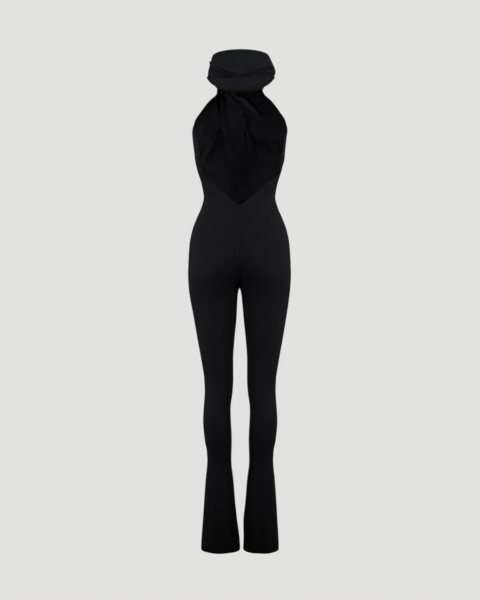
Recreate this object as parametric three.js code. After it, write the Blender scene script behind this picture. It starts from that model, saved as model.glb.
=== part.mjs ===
// A halter jumpsuit in black stretch cloth, in the round form it has when worn, with no wearer.
// Millimetres, +Z up. The origin is the centre of the neck seam, the open back faces -Y,
// and the wearer's right is +X.
//
// Every panel is a wall of cloth over one shared outside surface, so that the pieces
// meet at their seams. The surface is given by level sections: two half ellipses, front
// and back, that share their widest line. Below the crotch each leg has its own.
import * as THREE from "three";

const CLOTH = 1.6; // thickness of the cloth wall
const SEAM = 0.3; // space between two pieces at a seam
const BLACK = 0x17171a;

// Heights of the cut, from the neck seam at 0.
const CROTCH_Z = -634;
const SEAT_RISE = 140; // how far above the crotch the legs begin to part
const PARTING_RATE = 0.75; // how fast they still part at the crotch, 1 being even
const WAIST_SEAM_Z = -388; // the front waist seam, level with the V of the back
const HEM_Z = -1469;

// The V of the back: a straight edge that falls to the centre, with a small round tip.
const BACK_V = { tipZ: -374.5, slope: 0.82, tipRadius: 7 };

// The armhole and side edges lie behind the widest line by this angle, in degrees.
const WRAP = {
  left: 26,
  right: 18,
  startZ: -104, // no wrap above here, where the edge is the widest line
  fullZ: -168,
  seamZ: -279, // the side seam starts here and moves to the widest line
  straightZ: -480,
};

// Level sections. half: half the outside width; front and back: reach from y = 0;
// mid: y of the widest line.
const BODY = [
  { z: 0, half: 72, front: 62, back: 76, mid: -12 },
  { z: -14, half: 77.5, front: 63, back: 70, mid: -5 },
  { z: -32, half: 99.5, front: 67, back: 64, mid: 9 },
  { z: -64, half: 127.4, front: 78, back: 60, mid: 30 },
  { z: -96, half: 147.4, front: 92, back: 62, mid: 34 },
  { z: -128, half: 153, front: 107, back: 72, mid: 14 },
  { z: -160, half: 150, front: 121, back: 82, mid: 0 },
  { z: -192, half: 146.7, front: 128, back: 88, mid: -5 },
  { z: -224, half: 142.2, front: 123, back: 90, mid: -6 },
  { z: -256, half: 135.5, front: 110, back: 90, mid: -6 },
  { z: -304, half: 121, front: 94, back: 85, mid: -3 },
  { z: -345, half: 114.5, front: 86, back: 83, mid: 0 },
  { z: -374, half: 121.5, front: 88, back: 88, mid: 0 },
  { z: -410, half: 136.5, front: 94, back: 98, mid: 0 },
  { z: -448, half: 150.4, front: 100, back: 109, mid: -2 },
  { z: -496, half: 159.6, front: 104, back: 121, mid: -6 },
  { z: -544, half: 162.6, front: 103, back: 127, mid: -9 },
  { z: -590, half: 164, front: 99, back: 123, mid: -10 },
  { z: -634, half: 162, front: 95, back: 110, mid: -7 },
  { z: -672, half: 157.1, front: 92, back: 99, mid: -3 },
  { z: -736, half: 146.4, front: 86, back: 89, mid: -1 },
  { z: -800, half: 135.7, front: 80, back: 80, mid: 0 },
  { z: -864, half: 124, front: 72, back: 71, mid: 0 },
  { z: -928, half: 114.6, front: 64, back: 62, mid: 1 },
  { z: -960, half: 113.3, front: 61, back: 58, mid: 2 },
  { z: -1024, half: 117.1, front: 52, back: 64, mid: -4 },
  { z: -1056, half: 118.4, front: 48, back: 67, mid: -9 },
  { z: -1120, half: 113, front: 44, back: 62, mid: -9 },
  { z: -1152, half: 106.7, front: 42, back: 56, mid: -7 },
  { z: -1184, half: 105.1, front: 42, back: 50, mid: -4 },
  { z: -1248, half: 110.6, front: 50, back: 55, mid: -2 },
  { z: -1312, half: 115.2, front: 60, back: 62, mid: -1 },
  { z: -1376, half: 119.2, front: 68, back: 67, mid: 1 },
  { z: -1440, half: 123.4, front: 76, back: 71, mid: 3 },
  { z: HEM_Z, half: 124.6, front: 79, back: 73, mid: 3 },
];

// Half the space between the legs.
const LEG_GAP = [
  { z: CROTCH_Z, gap: 0 },
  { z: -641, gap: 2.9 },
  { z: -656, gap: 5.8 },
  { z: -672, gap: 7.4 },
  { z: -736, gap: 12 },
  { z: -800, gap: 18.4 },
  { z: -864, gap: 22.4 },
  { z: -928, gap: 22.2 },
  { z: -960, gap: 24 },
  { z: -1024, gap: 31 },
  { z: -1120, gap: 27.2 },
  { z: -1184, gap: 28.6 },
  { z: -1248, gap: 22 },
  { z: -1312, gap: 16.8 },
  { z: -1376, gap: 10.2 },
  { z: HEM_Z, gap: 4.6 },
];

// The garment leans a little: x of its middle.
const SWAY = [
  { z: 0, x: 1 },
  { z: -14, x: 4 },
  { z: -110, x: 3 },
  { z: -160, x: 1 },
  { z: CROTCH_Z, x: 1 },
  { z: -736, x: 2.8 },
  { z: -1300, x: 3.4 },
  { z: HEM_Z, x: 2.4 },
];

// The left flare swings in at the hem and the right one out by this much.
const KICK = { size: 5.4, startZ: -1360, fullZ: -1450 };

// The flares hang in soft flutes: waves round each leg that grow towards the hem.
const FLUTES = { startZ: -1190, rise: 3.4, waves: 5, phase: { left: 0.6, right: 2.1 } };

// Where down the seat the cloth between the legs starts to follow them, 1 being the crotch.
const BRIDGE = { front: 0.4, back: 0.05 };

// Folds of the front, from the neck down. Each is a soft ridge on the outside, or a
// trough where rise is negative, along a bowed line from (x0, z0) to (x1, z1).
const FOLDS = [
  { x0: -67.6, z0: 0, x1: -47, z1: -176, bow: 0, width: 8, rise: -6 },
  { x0: -52.5, z0: 0, x1: -51, z1: -110, bow: 0, width: 7, rise: 5 },
  { x0: -43, z0: 0, x1: -26, z1: -62, bow: 0, width: 8, rise: -3 },
  { x0: -26.7, z0: -4, x1: -2.9, z1: -56, bow: 0, width: 7, rise: 4.5 },
  { x0: -28, z0: -70, x1: -22, z1: -190, bow: 0, width: 12, rise: -3 },
  { x0: -1.6, z0: -26, x1: 66.7, z1: -212, bow: 13, width: 9, rise: 7.5 },
  { x0: -1.6, z0: 0, x1: 83.4, z1: -70, bow: 0, width: 8, rise: 6 },
  { x0: 48.2, z0: -6, x1: 106.6, z1: -66, bow: 0, width: 8, rise: -4 },
  { x0: 69.2, z0: -24, x1: 122, z1: -58, bow: 0, width: 8, rise: 4.5 },
  { x0: 47, z0: -150, x1: 107, z1: -200, bow: 15, width: 9, rise: 6 },
  { x0: 18.4, z0: -120, x1: 24, z1: -200, bow: 0, width: 7, rise: 4.5 },
  { x0: 117, z0: -160, x1: 136, z1: -228, bow: 0, width: 9, rise: 5 },
  { x0: -61.4, z0: -112, x1: -106.7, z1: -232, bow: -8.4, width: 9, rise: 6 },
  { x0: -101, z0: -172, x1: -119, z1: -228, bow: 0, width: 7, rise: -4 },
  { x0: -128, z0: -95, x1: -127, z1: -240, bow: 0, width: 8, rise: -4 },
  { x0: -50, z0: -212, x1: -10.5, z1: -330, bow: 0, width: 11, rise: 3 },
];
// A fold fades in and out over these shares of its length, and opens out along it.
const FOLD_ENDS = { fadeIn: [-0.12, 0.12], fadeOut: [0.5, 1.12] };
const FOLD_OPENING = { start: 0.75, gain: 0.7 };

// The folds fade out towards the armhole edges, between these angles from the widest line.
const EDGE_CALM = { from: 8, to: 36 };

// The collar, a tube folded over at its rim: rings from the neck seam up the inner stand,
// over the rim and down the outer fall, all on the outside of the fold. side: height at
// the widest line; drop: how much lower the ring hangs at the centre back; shift: x of
// its middle; tuck: how far the cloth is drawn in between the sides and the centre back.
const COLLAR = [
  { half: 70.4, front: 60.4, back: 74.4, side: SEAM, drop: 0, shift: 1, tuck: 0 },
  { half: 73.5, front: 65, back: 77.5, side: 34, drop: 0, shift: 2, tuck: 0 },
  { half: 79, front: 72, back: 80.5, side: 70, drop: 0, shift: 4, tuck: 0 },
  { half: 82.5, front: 77.5, back: 83.5, side: 97, drop: -2, shift: 5, tuck: 0 },
  { half: 85, front: 80, back: 86, side: 106, drop: -3, shift: 5, tuck: 0 },
  { half: 88, front: 83.5, back: 89.5, side: 109, drop: -4, shift: 5, tuck: 0 },
  { half: 91.5, front: 86.5, back: 92.5, side: 105.5, drop: -3, shift: 5, tuck: 0 },
  { half: 96.5, front: 92, back: 97, side: 92, drop: 3, shift: 6.5, tuck: 0 },
  { half: 102.5, front: 99, back: 103, side: 76, drop: 12, shift: 8, tuck: -1 },
  { half: 107.5, front: 104, back: 107, side: 60, drop: 22, shift: 8.5, tuck: 1 },
  { half: 108, front: 103.5, back: 106.5, side: 51, drop: 30, shift: 8, tuck: 9 },
  { half: 106.5, front: 105, back: 108, side: 45, drop: 37, shift: 6, tuck: 3 },
  { half: 108.6, front: 105, back: 105.5, side: 38, drop: 46, shift: 5, tuck: 0 },
  { half: 104, front: 100, back: 99, side: 32.5, drop: 55, shift: 4, tuck: 0 },
];
const COLLAR_MID = { y: -4, fromZ: 0, toZ: 60 }; // its widest line moves back to here
const DROP_POWER = { back: 1.3, front: 4 }; // how steeply a ring falls from the sides
const FRONT_DROP = 1.05; // the front's share of the back's drop

// Steps along and across each kind of panel.
const STEPS = {
  across: 10,
  yoke: 5,
  seat: 5,
  crotch: 9,
  legDown: 22,
  bodiceAcross: 40,
  bodiceDown: 22,
  collarRound: 40,
};

const SETTLE_ROUNDS = 8; // rounds that find where the V edge meets a column

// How strongly rows crowd together towards the top of a leg and of the bodice.
const CROWDING = { leg: 1.2, bodice: 1.25 };

// How far to either side a surface is sampled for its direction: along and round.
const SAMPLE = { leg: [0.5, 0.5], bodice: [1.5, 1], collar: [0.3, 1] };

const radians = THREE.MathUtils.degToRad;
const { lerp, clamp, smoothstep } = THREE.MathUtils;

// A smooth curve through one column of a table whose rows run downwards. It never
// overshoots, so that an outline keeps the widths given.
function profile(rows, column) {
  const z = rows.map((row) => row.z);
  const v = rows.map((row) => row[column]);
  const step = z.slice(1).map((next, i) => next - z[i]);
  const rise = step.map((h, i) => (v[i + 1] - v[i]) / h);
  const slope = v.map((_, i) => {
    if (i === 0) return rise[0];
    if (i === v.length - 1) return rise[i - 1];
    if (rise[i - 1] * rise[i] <= 0) return 0;
    const a = 2 * step[i] + step[i - 1];
    const b = step[i] + 2 * step[i - 1];
    return (a + b) / (a / rise[i - 1] + b / rise[i]);
  });
  return (at) => {
    const k = clamp(z.findIndex((level) => level <= at) - 1, 0, z.length - 2);
    const i = at <= z[z.length - 1] ? z.length - 2 : k;
    const t = clamp((at - z[i]) / step[i], 0, 1);
    const t2 = t * t;
    const t3 = t2 * t;
    return (
      (2 * t3 - 3 * t2 + 1) * v[i] +
      (t3 - 2 * t2 + t) * step[i] * slope[i] +
      (3 * t2 - 2 * t3) * v[i + 1] +
      (t3 - t2) * step[i] * slope[i + 1]
    );
  };
}

const body = {
  half: profile(BODY, "half"),
  front: profile(BODY, "front"),
  back: profile(BODY, "back"),
  mid: profile(BODY, "mid"),
};
const legGap = profile(LEG_GAP, "gap");
const sway = profile(SWAY, "x");

// How far down the seat a height is: 0 at its top and 1 from the crotch down.
function seatShare(z) {
  return clamp((CROTCH_Z + SEAT_RISE - z) / SEAT_RISE, 0, 1);
}

// 0 where the two sides are one ring, 1 from the crotch down, where each leg is its own.
// It starts evenly and still grows at the crotch, so that the seam there is round.
function parting(z) {
  const t = seatShare(z);
  return (3 - PARTING_RATE) * t ** 2 + (PARTING_RATE - 2) * t ** 3;
}

// Centre and half width of one side's ellipse at height z. Above the crotch it is cut
// off at the middle of the garment.
function sideEllipse(z, side) {
  const outer = body.half(z);
  if (z > CROTCH_Z) {
    const width = outer / (1 + parting(z));
    return { centre: outer - width, width };
  }
  const kick = side === "left" ? -KICK.size : KICK.size;
  const swing = kick * smoothstep(-z, -KICK.startZ, -KICK.fullZ);
  const gap = legGap(z) + swing;
  return { centre: (outer + gap) / 2, width: (outer - gap) / 2 };
}

// The angle, in degrees, at which one side's ellipse meets the middle of the garment:
// 90 at the waist and 180 from the crotch down.
function innerAngle(z, side) {
  const { centre, width } = sideEllipse(z, side);
  if (z <= CROTCH_Z) return 180;
  return THREE.MathUtils.radToDeg(
    Math.acos(clamp((SEAM / 2 - centre) / width, -1, 1)),
  );
}

// The angle of the side seam, and of the armhole edge above it.
function edgeAngle(z, side) {
  const grown = smoothstep(-z, -WRAP.startZ, -WRAP.fullZ);
  const kept = 1 - smoothstep(-z, -WRAP.seamZ, -WRAP.straightZ);
  return WRAP[side] * grown * kept;
}

// The height of the back's V edge at a distance x from the middle.
function backEdge(x) {
  const r = BACK_V.tipRadius;
  return BACK_V.tipZ + BACK_V.slope * (Math.hypot(x, r) - r);
}

// A point of the outside surface of one side, with x outwards. The angle runs from the
// widest line at 0 to the back at 90 and the inside leg at 180; below 0 it runs round
// the front.
function bodyPoint(z, angle, side) {
  const { centre, width } = sideEllipse(z, side);
  const turn = radians(angle);
  const mid = body.mid(z);
  const depth = angle > 0 ? -body.back(z) - mid : body.front(z) - mid;
  // The cloth bridges the hollow between the legs until just above the crotch.
  const hollow = smoothstep(seatShare(z), angle > 0 ? BRIDGE.back : BRIDGE.front, 1);
  const reach = Math.abs(Math.sin(turn));
  const bridged = Math.abs(angle) > 90 ? 1 - hollow * (1 - reach) : reach;
  const flute = fluteRise(z, turn, side) * reach;
  return new THREE.Vector3(
    centre + width * Math.cos(turn),
    mid + (depth + Math.sign(depth) * flute) * bridged,
    z,
  );
}

// How far a flute of the flare stands out at a turn round the leg.
function fluteRise(z, turn, side) {
  const grown = smoothstep(-z, -FLUTES.startZ, -HEM_Z);
  return FLUTES.rise * grown * Math.sin(FLUTES.waves * turn + FLUTES.phase[side]);
}

// How far the folds push a point of the front outwards.
function foldRise(x, z) {
  let total = 0;
  for (const fold of FOLDS) {
    const along = new THREE.Vector2(fold.x1 - fold.x0, fold.z1 - fold.z0);
    const length = along.length();
    along.divideScalar(length);
    const from = new THREE.Vector2(x - fold.x0, z - fold.z0);
    const t = from.dot(along) / length;
    const bow = 4 * fold.bow * t * (1 - t);
    const off = from.x * -along.y + from.y * along.x - bow;
    const ends = smoothstep(t, ...FOLD_ENDS.fadeIn) * (1 - smoothstep(t, ...FOLD_ENDS.fadeOut));
    const width = fold.width * (FOLD_OPENING.start + FOLD_OPENING.gain * clamp(t, 0, 1));
    total += fold.rise * ends * Math.exp(-((off / width) ** 2));
  }
  return total;
}

// A point of the front of the bodice, with its folds. The angle runs from 0 at the right
// widest line through -90 at the front to -180 at the left one.
function bodicePoint(z, angle) {
  const side = angle > -90 ? "right" : "left";
  const own = side === "right" ? angle : -180 - angle;
  const point = bodyPoint(z, own, side);
  if (side === "left") point.x = -point.x;
  const facing = smoothstep(-own, EDGE_CALM.from, EDGE_CALM.to);
  const outward = new THREE.Vector3(point.x / 2, point.y, 0).normalize();
  point.addScaledVector(outward, foldRise(point.x, z) * facing);
  point.x += sway(z);
  return point;
}

// A point of the collar, at a row of its table and an angle that is 90 at the back.
function collarPoint(row, angle) {
  const i = clamp(Math.floor(row), 0, COLLAR.length - 2);
  const at = (column) => lerp(COLLAR[i][column], COLLAR[i + 1][column], row - i);
  const back = Math.sin(radians(angle));
  const risen = smoothstep(at("side"), COLLAR_MID.fromZ, COLLAR_MID.toZ);
  const mid = lerp(body.mid(0), COLLAR_MID.y, risen);
  const drawn = 1 - (at("tuck") * Math.sin(radians(2 * angle)) ** 2) / at("half");
  const depth = back > 0 ? -at("back") - mid : mid - at("front");
  const steepness = back > 0 ? DROP_POWER.back : DROP_POWER.front;
  const share = back > 0 ? 1 : FRONT_DROP;
  return new THREE.Vector3(
    at("shift") + at("half") * Math.cos(radians(angle)) * drawn,
    mid + depth * back * drawn,
    at("side") - at("drop") * share * Math.abs(back) ** steepness,
  );
}

// The outward direction of a surface given by two numbers.
function normalOf(surface, u, v, du, dv) {
  const alongU = surface(u + du, v).sub(surface(u - du, v));
  const alongV = surface(u, v + dv).sub(surface(u, v - dv));
  return alongU.cross(alongV).normalize();
}

// A closed wall of cloth. Each row is a list of { point, normal }, with the wall on the
// side away from the normals. A round wall joins its last column to its first.
function clothGeometry(rows, round = false) {
  const down = rows.length;
  const across = rows[0].length;
  const positions = [];
  for (const depth of [0, CLOTH]) {
    for (const row of rows) {
      for (const { point, normal } of row) {
        positions.push(...point.clone().addScaledVector(normal, -depth));
      }
    }
  }
  const faces = [];
  const quad = (a, b, c, d) => faces.push(a, b, c, a, c, d);
  const vertex = (layer, i, j) => (layer * down + i) * across + (j % across);
  const corner = (i, j) => new THREE.Vector3().fromArray(positions, vertex(0, i, j) * 3);
  const lastColumn = round ? across : across - 1;
  for (let i = 0; i < down - 1; i++) {
    for (let j = 0; j < lastColumn; j++) {
      const falling = corner(i, j).distanceTo(corner(i + 1, j + 1));
      const rising = corner(i + 1, j).distanceTo(corner(i, j + 1));
      for (const layer of [0, 1]) {
        const ring = [
          vertex(layer, i, j),
          vertex(layer, i + 1, j),
          vertex(layer, i + 1, j + 1),
          vertex(layer, i, j + 1),
        ];
        // Each four-sided field is split along its shorter diagonal.
        if (rising < falling) ring.push(ring.shift());
        quad(...(layer === 0 ? ring : ring.reverse()));
      }
    }
  }
  for (let j = 0; j < lastColumn; j++) {
    quad(vertex(0, 0, j), vertex(0, 0, j + 1), vertex(1, 0, j + 1), vertex(1, 0, j));
    const i = down - 1;
    quad(vertex(0, i, j + 1), vertex(0, i, j), vertex(1, i, j), vertex(1, i, j + 1));
  }
  if (!round) {
    for (let i = 0; i < down - 1; i++) {
      quad(vertex(0, i + 1, 0), vertex(0, i, 0), vertex(1, i, 0), vertex(1, i + 1, 0));
      const j = across - 1;
      quad(vertex(0, i, j), vertex(0, i + 1, j), vertex(1, i + 1, j), vertex(1, i, j));
    }
  }
  const geometry = new THREE.BufferGeometry();
  geometry.setAttribute("position", new THREE.Float32BufferAttribute(positions, 3));
  geometry.setIndex(facingOut(positions, faces));
  geometry.computeVertexNormals();
  return geometry;
}

// The faces of a closed mesh, turned round if they point inwards.
function facingOut(positions, faces) {
  const corner = (k) => new THREE.Vector3().fromArray(positions, faces[k] * 3);
  let volume = 0;
  for (let k = 0; k < faces.length; k += 3) {
    volume += corner(k).dot(corner(k + 1).cross(corner(k + 2)));
  }
  return volume > 0 ? faces : faces.reverse();
}

// The whole numbers from 0 up to and with last.
function range(last) {
  return Array.from({ length: last + 1 }, (_, i) => i);
}

// The rows of a leg panel from the waist seam to the hem, with their heights at the side
// seam and at the inner one. Towards the crotch the rows crowd together at the inner seam
// only, where it turns under.
function legRows() {
  const seatZ = CROTCH_Z + SEAT_RISE;
  const rows = [];
  for (let i = 0; i < STEPS.seat; i++) {
    const z = lerp(WAIST_SEAM_Z - SEAM, seatZ, i / STEPS.seat);
    rows.push({ atSide: z, atInside: z });
  }
  for (let i = 0; i < STEPS.crotch; i++) {
    const t = i / STEPS.crotch;
    const turnedUnder = CROTCH_Z + SEAT_RISE * (1 - Math.sin(radians(90 * t)));
    rows.push({ atSide: lerp(seatZ, CROTCH_Z, t), atInside: turnedUnder });
  }
  for (let i = 0; i <= STEPS.legDown; i++) {
    const z = lerp(CROTCH_Z, HEM_Z, (i / STEPS.legDown) ** CROWDING.leg);
    rows.push({ atSide: z, atInside: z });
  }
  return rows;
}

// The height of column j of a leg row.
function rowHeight(row, j) {
  return lerp(row.atSide, row.atInside, (j / STEPS.across) ** 2);
}

// One point of a panel below the waist, with the wall's own direction there.
function legPoint(z, angle, side) {
  // The direction is taken just off the places where the surface has a crease.
  const safe = Math.sign(angle) * clamp(Math.abs(angle), 1, 179);
  const normal = normalOf((height, turn) => bodyPoint(height, turn, side), z, safe, ...SAMPLE.leg);
  const point = bodyPoint(z, angle, side);
  const turn = radians(safe);
  if (normal.x * Math.cos(turn) - normal.y * Math.sin(turn) < 0) normal.negate();
  if (side === "left") {
    point.x = -point.x;
    normal.x = -normal.x;
  }
  point.x += sway(z);
  return { point, normal };
}

// Half the space between two pieces, as an angle round the body.
function seamTurn(z) {
  return THREE.MathUtils.radToDeg(SEAM / 2 / body.back(z));
}

// The height where the V edge meets the side seam.
function sideTop(side) {
  let z = WRAP.seamZ;
  for (let round = 0; round < SETTLE_ROUNDS; round++) {
    z = backEdge(body.half(z) * Math.cos(radians(edgeAngle(z, side))));
  }
  return z;
}

// The left or right back, from the V of the waist to the hem.
function backPanel(side) {
  const lastAngle = (z) => innerAngle(z, side) - (z <= CROTCH_Z ? seamTurn(z) : 0);
  const angleAt = (z, j) => lerp(edgeAngle(z, side) + seamTurn(z), lastAngle(z), j / STEPS.across);
  const rows = [];
  for (let i = 0; i < STEPS.yoke; i++) {
    const columns = [];
    for (let j = 0; j <= STEPS.across; j++) {
      // The V is met at a height that depends on the column's own width there.
      let z = BACK_V.tipZ;
      for (let round = 0; round < SETTLE_ROUNDS; round++) {
        z = backEdge(body.half(z) * Math.cos(radians(angleAt(z, j))));
      }
      z = lerp(z, WAIST_SEAM_Z - SEAM, i / STEPS.yoke);
      columns.push(legPoint(z, angleAt(z, j), side));
    }
    rows.push(columns);
  }
  for (const row of legRows()) {
    const columns = range(STEPS.across).map((j) => {
      const z = rowHeight(row, j);
      return legPoint(z, angleAt(z, j), side);
    });
    rows.push(columns);
  }
  return clothGeometry(rows);
}

// The left or right front leg, from the waist seam to the hem.
function frontLeg(side) {
  return clothGeometry(
    legRows().map((row) =>
      range(STEPS.across).map((j) => {
        const z = rowHeight(row, j);
        const first = edgeAngle(z, side) - seamTurn(z);
        const last = -innerAngle(z, side) + (z <= CROTCH_Z ? seamTurn(z) : 0);
        return legPoint(z, lerp(first, last, j / STEPS.across), side);
      }),
    ),
  );
}

// Heights of the bodice's rows. Its side seams have the rows of the back beside them.
function bodiceHeights() {
  const seamTop = Math.max(sideTop("left"), sideTop("right"));
  const heights = [];
  for (let i = 0; i < STEPS.bodiceDown; i++) {
    // The rows stand closer together towards the neck, where the cloth is gathered.
    heights.push(seamTop * (i / STEPS.bodiceDown) ** CROWDING.bodice);
  }
  for (let i = 0; i <= STEPS.yoke; i++) {
    heights.push(lerp(seamTop, WAIST_SEAM_Z, i / STEPS.yoke));
  }
  return heights;
}

// The front of the bodice, one piece from armhole to armhole and from neck to waist.
function frontBodice() {
  return clothGeometry(
    bodiceHeights().map((z) => {
      const first = edgeAngle(z, "right") - seamTurn(z);
      const last = -180 - edgeAngle(z, "left") + seamTurn(z);
      return range(STEPS.bodiceAcross).map((j) => {
        const angle = lerp(first, last, j / STEPS.bodiceAcross);
        const normal = normalOf(bodicePoint, z, angle, ...SAMPLE.bodice);
        const point = bodicePoint(z, angle);
        if (normal.x * (point.x - sway(z)) + normal.y * point.y < 0) normal.negate();
        return { point, normal };
      });
    }),
  );
}

// The collar, its inner stand and its outer fall in one folded tube.
function collar() {
  return clothGeometry(
    COLLAR.map((_, row) =>
      range(STEPS.collarRound - 1).map((j) => {
        const angle = (360 * j) / STEPS.collarRound;
        const normal = normalOf(collarPoint, row, angle, ...SAMPLE.collar).negate();
        return { point: collarPoint(row, angle), normal };
      }),
    ),
    true,
  );
}

const stretchCloth = new THREE.MeshStandardMaterial({
  color: BLACK,
  roughness: 0.9,
  metalness: 0,
});

const jumpsuit = new THREE.Group();
const pieces = {
  collar: collar(),
  front_bodice: frontBodice(),
  front_leg_left: frontLeg("left"),
  front_leg_right: frontLeg("right"),
  back_left: backPanel("left"),
  back_right: backPanel("right"),
};
for (const [name, geometry] of Object.entries(pieces)) {
  const mesh = new THREE.Mesh(geometry, stretchCloth.clone());
  mesh.name = name;
  jumpsuit.add(mesh);
}

export default jumpsuit;
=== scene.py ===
"""A halter jumpsuit in black stretch jersey, shown worn with no wearer, from the open back.

Lengths are millimetres until a mesh is made. The origin is the centre of the neck seam,
+Z is up, the open back faces -Y and the wearer's right is +X.
"""

import logging
import math
from dataclasses import dataclass
from enum import Enum
from typing import NamedTuple, Sequence

import bpy
import numpy as np
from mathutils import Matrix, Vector


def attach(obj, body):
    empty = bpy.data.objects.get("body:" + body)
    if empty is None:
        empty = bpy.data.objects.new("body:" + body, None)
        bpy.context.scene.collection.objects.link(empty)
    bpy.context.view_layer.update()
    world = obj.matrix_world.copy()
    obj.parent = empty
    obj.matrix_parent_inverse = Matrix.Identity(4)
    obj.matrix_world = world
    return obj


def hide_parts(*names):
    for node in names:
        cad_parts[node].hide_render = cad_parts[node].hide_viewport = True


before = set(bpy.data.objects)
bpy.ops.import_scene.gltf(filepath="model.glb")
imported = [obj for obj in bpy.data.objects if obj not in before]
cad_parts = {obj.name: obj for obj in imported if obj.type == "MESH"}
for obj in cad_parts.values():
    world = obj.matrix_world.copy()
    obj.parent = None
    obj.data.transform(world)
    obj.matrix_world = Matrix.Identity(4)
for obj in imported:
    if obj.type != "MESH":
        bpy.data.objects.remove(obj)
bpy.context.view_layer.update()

LOG = logging.getLogger("jumpsuit")
MM = 0.001
WAVELENGTHS = (150.0, 95.0, 62.0, 41.0)  # of the cloth's unevenness, the longest first


class Side(Enum):
    """A side of the wearer; the value is the sign of x there."""

    LEFT = -1
    RIGHT = 1


class Border(Enum):
    """A border of a panel's grid of rows and columns."""

    TOP = "first row"
    BOTTOM = "last row"
    FIRST = "first column"
    LAST = "last column"


class FoldShape(Enum):
    """The section of a fold: a narrow crease, or a broad round swell."""

    CREASE = 1.25
    SWELL = 2.0


class Level(NamedTuple):
    """A level section of the body: half width, reach to front and back, widest line."""

    z: float
    half: float
    front: float
    back: float
    mid: float


class Ring(NamedTuple):
    """A ring of the collar; drop is how much lower it hangs at the centre back."""

    half: float
    front: float
    back: float
    side: float
    drop: float
    shift: float
    tuck: float


class Station(NamedTuple):
    """A value of something at a height."""

    z: float
    value: float


BODY = (
    Level(0, 72, 62, 76, -12),
    Level(-14, 77.5, 63, 70, -5),
    Level(-32, 99.5, 67, 64, 9),
    Level(-64, 127.4, 78, 60, 30),
    Level(-96, 147.4, 92, 62, 34),
    Level(-128, 153, 107, 72, 14),
    Level(-160, 150, 121, 82, 0),
    Level(-192, 146.7, 128, 88, -5),
    Level(-224, 142.2, 123, 90, -6),
    Level(-256, 135.5, 110, 90, -6),
    Level(-304, 121, 94, 85, -3),
    Level(-345, 114.5, 86, 83, 0),
    Level(-374, 121.5, 88, 88, 0),
    Level(-410, 136.5, 94, 98, 0),
    Level(-448, 150.4, 100, 109, -2),
    Level(-496, 159.6, 104, 121, -6),
    Level(-544, 162.6, 103, 127, -9),
    Level(-590, 164, 99, 123, -10),
    Level(-634, 162, 95, 110, -7),
    Level(-672, 157.1, 92, 99, -3),
    Level(-736, 146.4, 86, 89, -1),
    Level(-800, 135.7, 80, 80, 0),
    Level(-864, 124, 72, 71, 0),
    Level(-928, 114.6, 64, 62, 1),
    Level(-960, 113.3, 61, 58, 2),
    Level(-1024, 117.1, 52, 64, -4),
    Level(-1056, 118.4, 48, 67, -9),
    Level(-1120, 113, 44, 62, -9),
    Level(-1152, 106.7, 42, 56, -7),
    Level(-1184, 105.1, 42, 50, -4),
    Level(-1248, 110.6, 50, 55, -2),
    Level(-1312, 115.2, 60, 62, -1),
    Level(-1376, 119.2, 68, 67, 1),
    Level(-1440, 123.4, 76, 71, 3),
    Level(-1469, 124.6, 79, 73, 3),
)

LEG_GAP = (
    Station(-634, 0),
    Station(-641, 2.9),
    Station(-656, 5.8),
    Station(-672, 7.4),
    Station(-736, 12),
    Station(-800, 18.4),
    Station(-864, 22.4),
    Station(-928, 22.2),
    Station(-960, 24),
    Station(-1024, 31),
    Station(-1120, 27.2),
    Station(-1184, 28.6),
    Station(-1248, 22),
    Station(-1312, 16.8),
    Station(-1376, 10.2),
    Station(-1469, 4.6),
)

SWAY = (
    Station(0, 1),
    Station(-14, 4),
    Station(-110, 3),
    Station(-160, 1),
    Station(-634, 1),
    Station(-736, 2.8),
    Station(-1300, 3.4),
    Station(-1469, 2.4),
)

COLLAR_RINGS = (
    Ring(70.4, 60.4, 74.4, 0, 0, 1, 0),
    Ring(73.5, 65, 77.5, 34, 0, 2, 0),
    Ring(79, 72, 80.5, 70, 0, 4, 0),
    Ring(82.5, 77.5, 83.5, 97, -2, 5, 0),
    Ring(85, 80, 86, 106, -3, 5, 0),
    Ring(88, 83.5, 89.5, 109, -4, 5, 0),
    Ring(91.5, 86.5, 92.5, 105.5, -3, 5, 0),
    Ring(96.5, 92, 97, 92, 3, 6.5, 0),
    Ring(102.5, 99, 103, 76, 12, 8, -1),
    Ring(107.5, 104, 107, 60, 22, 8.5, 1),
    Ring(108, 103.5, 106.5, 51, 30, 8, 9),
    Ring(106.5, 105, 108, 45, 37, 6, 3),
    Ring(108.6, 105, 105.5, 38, 46, 5, 0),
    Ring(104, 100, 99, 32.5, 55, 4, 0),
)


def linked(name: str, data: bpy.types.ID) -> bpy.types.Object:
    """Puts a new object into the scene.

    Args:
        name: the object's name.
        data: its mesh, light or camera.

    Returns:
        The object.
    """
    made = bpy.data.objects.new(name, data)
    bpy.context.scene.collection.objects.link(made)
    return made


def smoothstep(value: np.ndarray, start: float, end: float) -> np.ndarray:
    """Returns a smooth step from 0 at start to 1 at end."""
    t = np.clip((value - start) / (end - start), 0.0, 1.0)
    return t * t * (3.0 - 2.0 * t)


def mix(a: np.ndarray, b: np.ndarray, share: np.ndarray) -> np.ndarray:
    """Returns the value that lies share of the way from a to b."""
    return a + (b - a) * share


def crowded(count: int, strength: float) -> np.ndarray:
    """Returns count + 1 shares from 0 to 1 that stand closer together at both ends.

    Args:
        count: how many steps there are.
        strength: 0 for even steps; towards 1 the end steps grow ever smaller.
    """
    t = np.linspace(0.0, 1.0, count + 1)
    return t - strength * np.sin(2 * np.pi * t) / (2 * np.pi)


def unit(vectors: np.ndarray) -> np.ndarray:
    """Returns the vectors of the last axis at length 1."""
    length = np.linalg.norm(vectors, axis=-1, keepdims=True)
    return vectors / np.maximum(length, 1e-9)


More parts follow.
